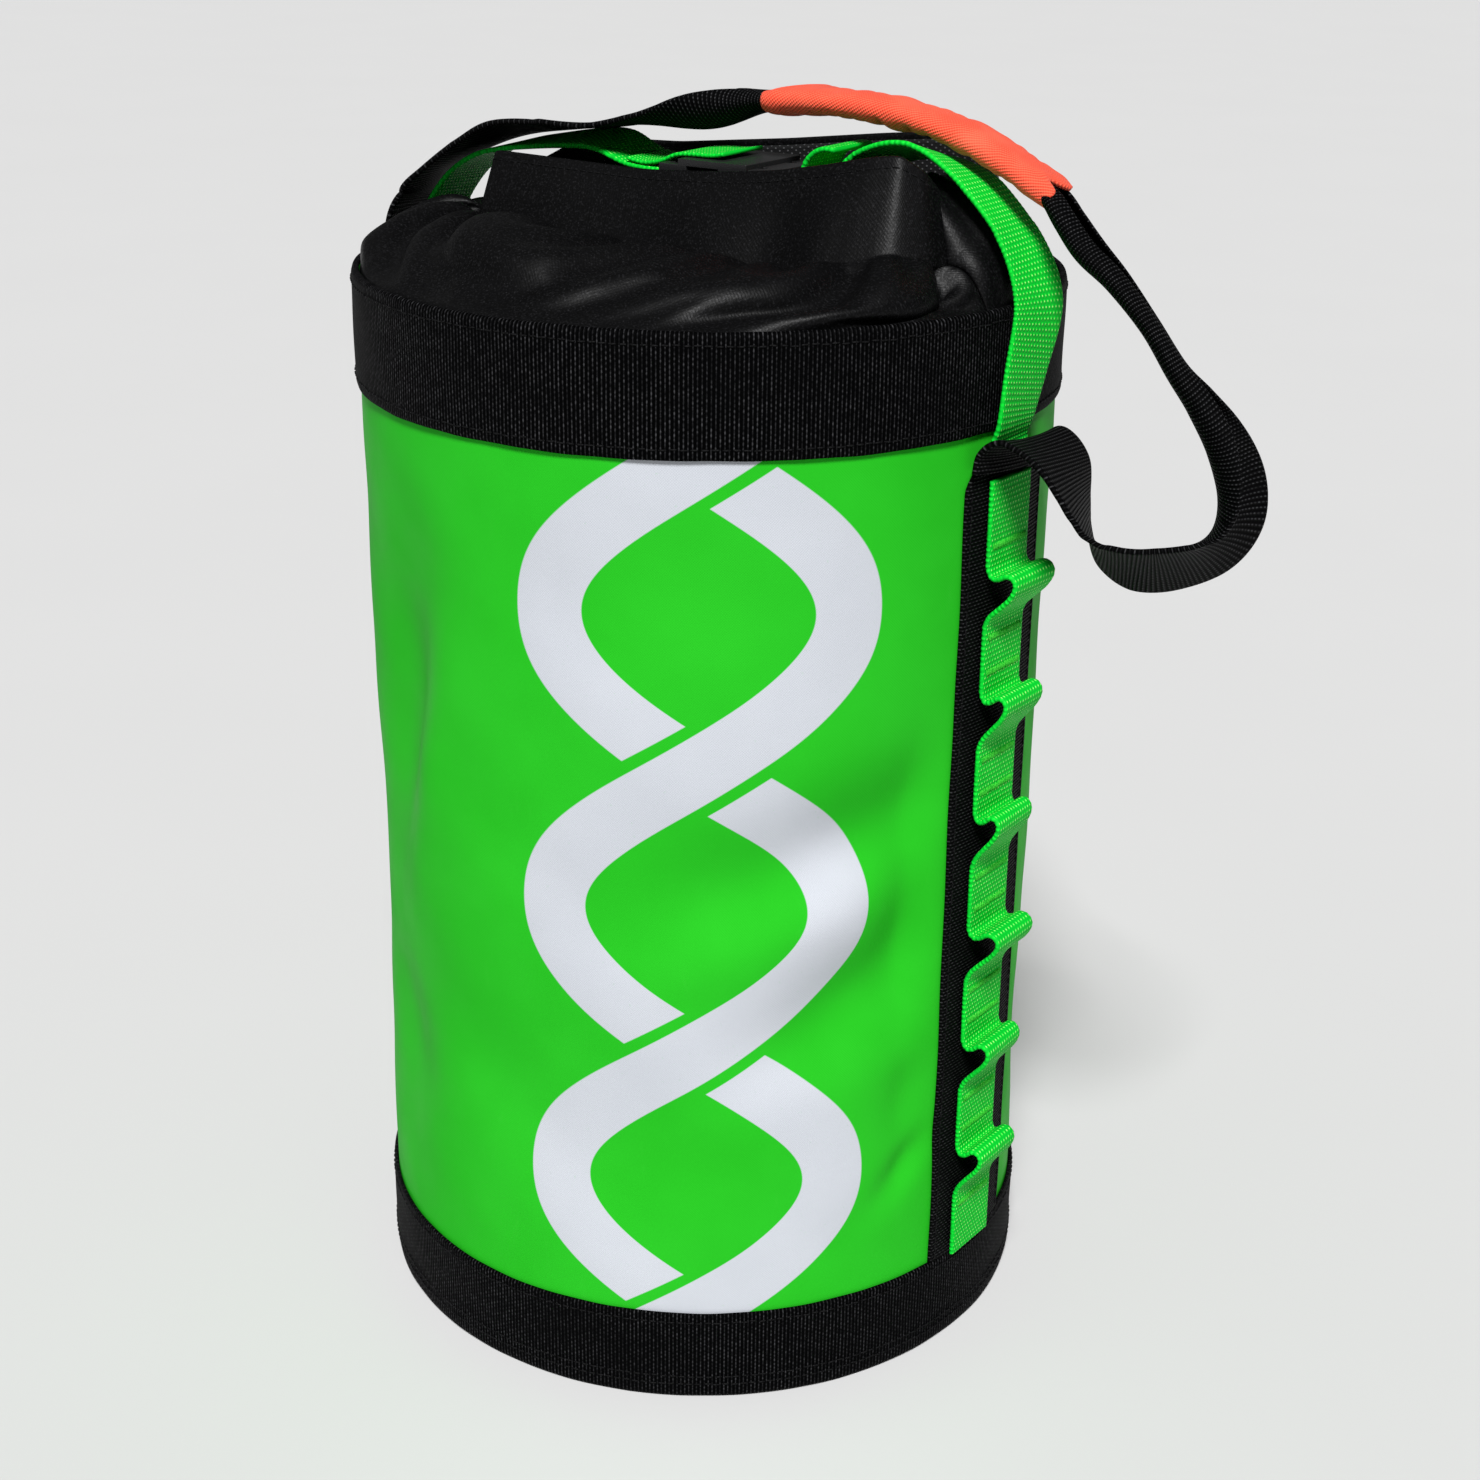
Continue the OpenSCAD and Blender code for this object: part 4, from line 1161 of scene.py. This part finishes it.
FRONT = dict(
    lip=[(0, -83, -12, 417), (0.08, -82, -16.5, 419.5), (0.17, -77, -23.3, 422.6), (0.30, -46, -24.8, 422.4),
         (0.45, -10, -24.8, 421.8), (0.58, 22, -24.8, 423.8), (0.66, 42, -25, 426), (0.74, 62, -25.2, 429.6),
         (0.81, 79, -25.2, 433.4), (0.87, 89, -23.4, 434.6), (0.94, 95.5, -18, 429.4), (1, 98, -13, 423.6)],
    face=[(0, 16), (0.17, 25), (0.45, 27), (0.62, 34), (0.82, 34), (1, 24)],
    steep=[(0, 0.35), (0.17, 0.40), (0.5, 0.52), (0.85, 0.52), (1, 0.4)],
    slack=[(0, 1.24), (0.12, 1.22), (0.3, 1.17), (0.5, 1.11), (0.66, 1.08), (0.78, 1.16), (0.9, 1.25), (1, 1.26)],
    turn=[(0, -40), (0.12, -18), (0.2, 0), (0.8, 0), (0.9, 30), (1, 55)],
    lift=[(0, 3), (0.3, 4), (0.6, 3), (1, 4)],
    tilt=[(0, -0.1), (0.16, -0.14), (0.34, -0.08), (0.5, 0.2), (0.62, 0.6), (0.8, 0.7), (1, 0.5)],
    bulge=lambda x: (2.6 * hump(x, 22, 16) - 1.8 * hump(x, 50, 10) + 2.2 * hump(x, 68, 9) + 1.2 * hump(x, -40, 22)))
BACK = dict(
    lip=[(0, -88, -15, 414), (0.10, -86, -29, 418), (0.19, -78, -40, 421), (0.34, -42, -42.6, 422),
         (0.52, 6, -42.8, 427), (0.68, 46, -42.8, 432), (0.80, 76, -42, 435), (0.88, 88, -38, 434.5),
         (0.95, 95, -28, 429), (1, 98, -16, 424)],
    face=[(0, 16), (0.2, 24), (0.5, 30), (0.8, 34), (1, 24)],
    steep=[(0, 0.35), (0.5, 0.34), (1, 0.35)],
    slack=[(0, 1.3), (0.12, 1.28), (0.3, 1.20), (0.5, 1.15), (0.7, 1.17), (0.9, 1.28), (1, 1.3)],
    turn=[(0, -45), (0.12, -22), (0.2, 0), (0.8, 0), (0.9, 30), (1, 55)],
    lift=[(0, 3), (0.5, 4), (1, 4)],
    tilt=[(0, 0.1), (0.5, 0.6), (1, 0.4)],
    bulge=lambda x: 1.8 * hump(x, 10, 30) - 1.0 * hump(x, -40, 15))


def turned_hem(L, out, r, depth):
    """Rows that carry the cloth over the lip in a small arc and down on its inner side."""
    C = L - out * r
    rows = []
    for q in np.radians([25, 60, 90, 120, 155, 180]):
        rows.append(C + out * r * math.cos(q) + np.array([0, 0, r * math.sin(q)]))
    for q in np.linspace(0, 1, 9)[1:]:
        wob = 0.18 * np.sin(L[:, 0] * 0.21) * q
        rows.append(C - out * (r + wob[:, None]) - np.array([0, 0, 1.0]) * (depth * q)[:, None])
    return np.array(rows)


def sheet_size(P):
    """Longest row, longest column and area of a cloth grid, in metres."""
    row = np.linalg.norm(np.diff(P, axis=1), axis=-1).sum(1).max() * MM
    col = np.linalg.norm(np.diff(P, axis=0), axis=-1).sum(0).max() * MM
    d1, d2 = P[1:, 1:] - P[:-1, :-1], P[1:, :-1] - P[:-1, 1:]
    return row, col, float(0.5 * np.linalg.norm(np.cross(d1, d2), axis=-1).sum()) * 1e-6


def run_collar(name, sign, spec, body, node, seed, share, hem):
    R, T, pin, uu, vv, out = collar_panel(sign, **spec)
    q = np.linspace(0, 1, N_FREE)
    push = np.ones(R.shape[:2])
    push[:N_FREE] = (smoothstep(q, 0.04, 0.3) * 0.8 + 0.2)[:, None]
    P = even_out(drape(R, T, pin, push, collar_guard(sign, T), seed), pin, 2)
    P = P * share + even_out(P, pin, 40) * (1 - share)
    depth = np.interp(np.linspace(0, 1, N_U), [0, 0.12, 0.2, 0.8, 0.88, 1], [4, 5, hem, hem, 6, 4])
    H = turned_hem(P[-1], out, 0.85, depth)
    full = np.concatenate([P, H])
    step = np.linalg.norm(np.diff(np.concatenate([P[-1:], H]), axis=0), axis=-1)
    vh = vv[-1] + np.cumsum(step, axis=0)
    v_all = np.concatenate([vv, vh])
    ob = thick_sheet(name, full, 0.8, M_NYLON, np.broadcast_to(uu[0], v_all.shape), v_all)
    subdivide(ob, 1)
    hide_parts(node)
    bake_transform(ob)
    # one row of stitches close under the lip
    face = P[-2]
    nrm = grid_normals(P)[-2]
    nrm = nrm * np.sign((nrm * out).sum(-1))[:, None]
    line, _ = resample(face[4:-4] + nrm[4:-4] * 0.5, 3.2)
    seg, _, nn = resample(face[4:-4] + nrm[4:-4] * 0.5, 3.2, nrm[4:-4])
    put(stitches(name + "_stitching", seg, tangents(seg), nn, 2.5, 0.24, M_THREAD_B), body, "black_nylon")
    return P, out


P_front, out_front = run_collar("collar_front_cloth", -1, FRONT, "front_flap", "collar_front", 3, 0.36, 22.0)
P_back, out_back = run_collar("collar_back_cloth", 1, BACK, "back_flap", "collar_back", 7, 0.5, 6.0)


def net_panel(name):
    """Close net sewn inside the back panel, from under the lip downwards."""
    cols = slice(24, -20)
    L, out = P_back[-1][cols], out_back[cols]
    rows = []
    for q in np.linspace(0, 1, 26):
        z = L[:, 2] - 1.2 - 33.0 * q
        sag = 0.5 * np.sin(L[:, 0] * 0.09 + 1.0) * smoothstep(q, 0.5, 1.0)
        rows.append(np.stack([L[:, 0], np.minimum(L[:, 1], 42.7) - 2.45 + sag * q, z], -1))
    P = np.array(rows)
    u = np.concatenate([[0], np.cumsum(np.linalg.norm(np.diff(P[0], axis=0), axis=1))])
    ob = thick_sheet(name, P, 0.7, M_NET, u[None], (np.linspace(0, 1, 26) * 33.0)[:, None])
    put(ob, "back_flap", "black_nylon")
    return ob


net_panel("collar_back_net_panel")


def pile_tape(name, x0, x1, y0, y1, z0, z1, seed):
    """Sewn tape with a rough pile on the face towards y1."""
    nx, nz = int((x1 - x0) / 0.55), int((z1 - z0) / 0.55)
    g = np.random.default_rng(seed)
    X, Z = np.meshgrid(np.linspace(x0, x1, nx), np.linspace(z0, z1, nz))
    edge = np.minimum(np.minimum(X - x0, x1 - X), np.minimum(Z - z0, z1 - Z))
    top = smoothstep(edge, -0.4, 1.2)
    face = y0 + (y1 - y0) * (0.30 + 0.52 * top + 0.18 * top * np.clip(g.normal(0, 0.6, X.shape), -1, 1))
    P = np.stack([X, 0.5 * (face + y0), Z], -1)
    N = np.zeros_like(P)
    N[..., 1] = 1
    ob = thick_sheet(name, P, np.abs(face - y0), M_TAPE, X, Z, normals=N)
    return ob


put(pile_tape("hook_tape_strip", -60, 60, -22.7, -21.2, 404, 420, 1), "front_flap", "hook_and_loop", "hook_tape")
put(pile_tape("loop_tape_strip", -50, 60, 39.7, 38.2, 404, 420, 2), "back_flap", "hook_and_loop", "loop_tape")

END_RIGHT = [(121.2, 387.5), (120.5, 393.2), (119.5, 402), (112, 413), (102, 421), (94, 425.2), (87, 427.2)]
END_LEFT = [(-121.2, 387.5), (-120.5, 393.2), (-117.6, 397), (-110, 399.6), (-100, 400.8), (-90, 402.4), (-80, 405.4),
            (-70, 409.6), (-62, 413)]


def collar_end(name, col, path, half, node):
    """Folded end of the collar between the two panels' side edges; half 0 is the front one."""
    F, B = P_front[:, col], P_back[:, col]
    s_f = np.concatenate([[0], np.cumsum(np.linalg.norm(np.diff(F, axis=0), axis=1))])
    m = smooth_path(path)
    s_m = np.concatenate([[0], np.cumsum(np.linalg.norm(np.diff(m, axis=0), axis=1))])
    q = s_f / s_f[-1]
    mx, mz = (np.interp(q * s_m[-1], s_m, m[:, k]) for k in (0, 1))
    M = np.stack([mx, 0 * mx, mz], -1)
    s = np.linspace(0.0, 0.5, 22) if half == 0 else np.linspace(0.5, 1.0, 22)
    k = 1 - (2 * s - 1) ** 2
    P = (F[:, None] * (1 - s)[None, :, None] + B[:, None] * s[None, :, None]
         + (M - 0.5 * (F + B))[:, None] * (k ** 0.8)[None, :, None])
    rip = (1.3 * np.sin(2 * np.pi * 2.5 * s + 0.6) * np.sqrt(k))[None] * (smoothstep(q, 0.04, 0.35) * (1 - 0.4 * q))[:, None]
    P = P + grid_normals(P) * rip[..., None]
    row, colm, area = sheet_size(P)
    u = (s * row / 0.5 / MM)[None]
    ob = thick_sheet(name, P, 0.9, M_NYLON, u, (q * s_f[-1])[:, None])
    subdivide(ob, 1)
    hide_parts(node)
    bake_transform(ob)
    return ob


for side, col, path, node in (("right", -1, END_RIGHT, "collar_end_right"), ("left", 0, END_LEFT, "collar_end_left")):
    collar_end("collar_end_%s_front" % side, col, path, 0, node)
    # the back half, the part under the sleeve
    collar_end("collar_end_%s_back" % side, col, path, 1, node)

# ---------------------------------------------------------------- stage and light

floor_me = bpy.data.meshes.new("floor")
k = 96
fv = [(0.0, 0.0, 0.0)] + [(60 * math.cos(2 * math.pi * i / k), 60 * math.sin(2 * math.pi * i / k), 0.0) for i in range(k)]
floor_me.from_pydata(fv, [], [(0, 1 + i, 1 + (i + 1) % k) for i in range(k)])
floor_me.materials.append(mat_floor())
floor = bpy.data.objects.new("floor", floor_me)
scene.collection.objects.link(floor)

world = bpy.data.worlds.new("studio")
scene.world = world
world.use_nodes = True
world.node_tree.nodes["Background"].inputs[0].default_value = (1.0, 1.0, 1.0, 1.0)
world.node_tree.nodes["Background"].inputs[1].default_value = 0.10
scene.view_settings.view_transform = "Standard"
scene.view_settings.look = "None"

cam_dir = np.array([math.sin(AZ), -math.cos(AZ), 0.0])
cam_left = np.array([-math.cos(AZ), -math.sin(AZ), 0.0])


def sun(name, direction, strength, angle):
    """Broad soft light from a direction (towards the light)."""
    d = bpy.data.lights.new(name, "SUN")
    d.energy, d.angle = strength, math.radians(angle)
    o = bpy.data.objects.new(name, d)
    o.rotation_mode = "QUATERNION"
    o.rotation_quaternion = Vector([-x for x in direction]).to_track_quat("-Z", "Y")
    o.location = Vector(direction) * 2
    scene.collection.objects.link(o)
    return o


sun("key", cam_dir * 0.80 + cam_left * 0.04 + np.array([0, 0, 1.0]), 5.2, 15)
sun("fill", cam_dir * 0.4 + cam_left * 0.9 + np.array([0, 0, 0.8]), 0.10, 60)
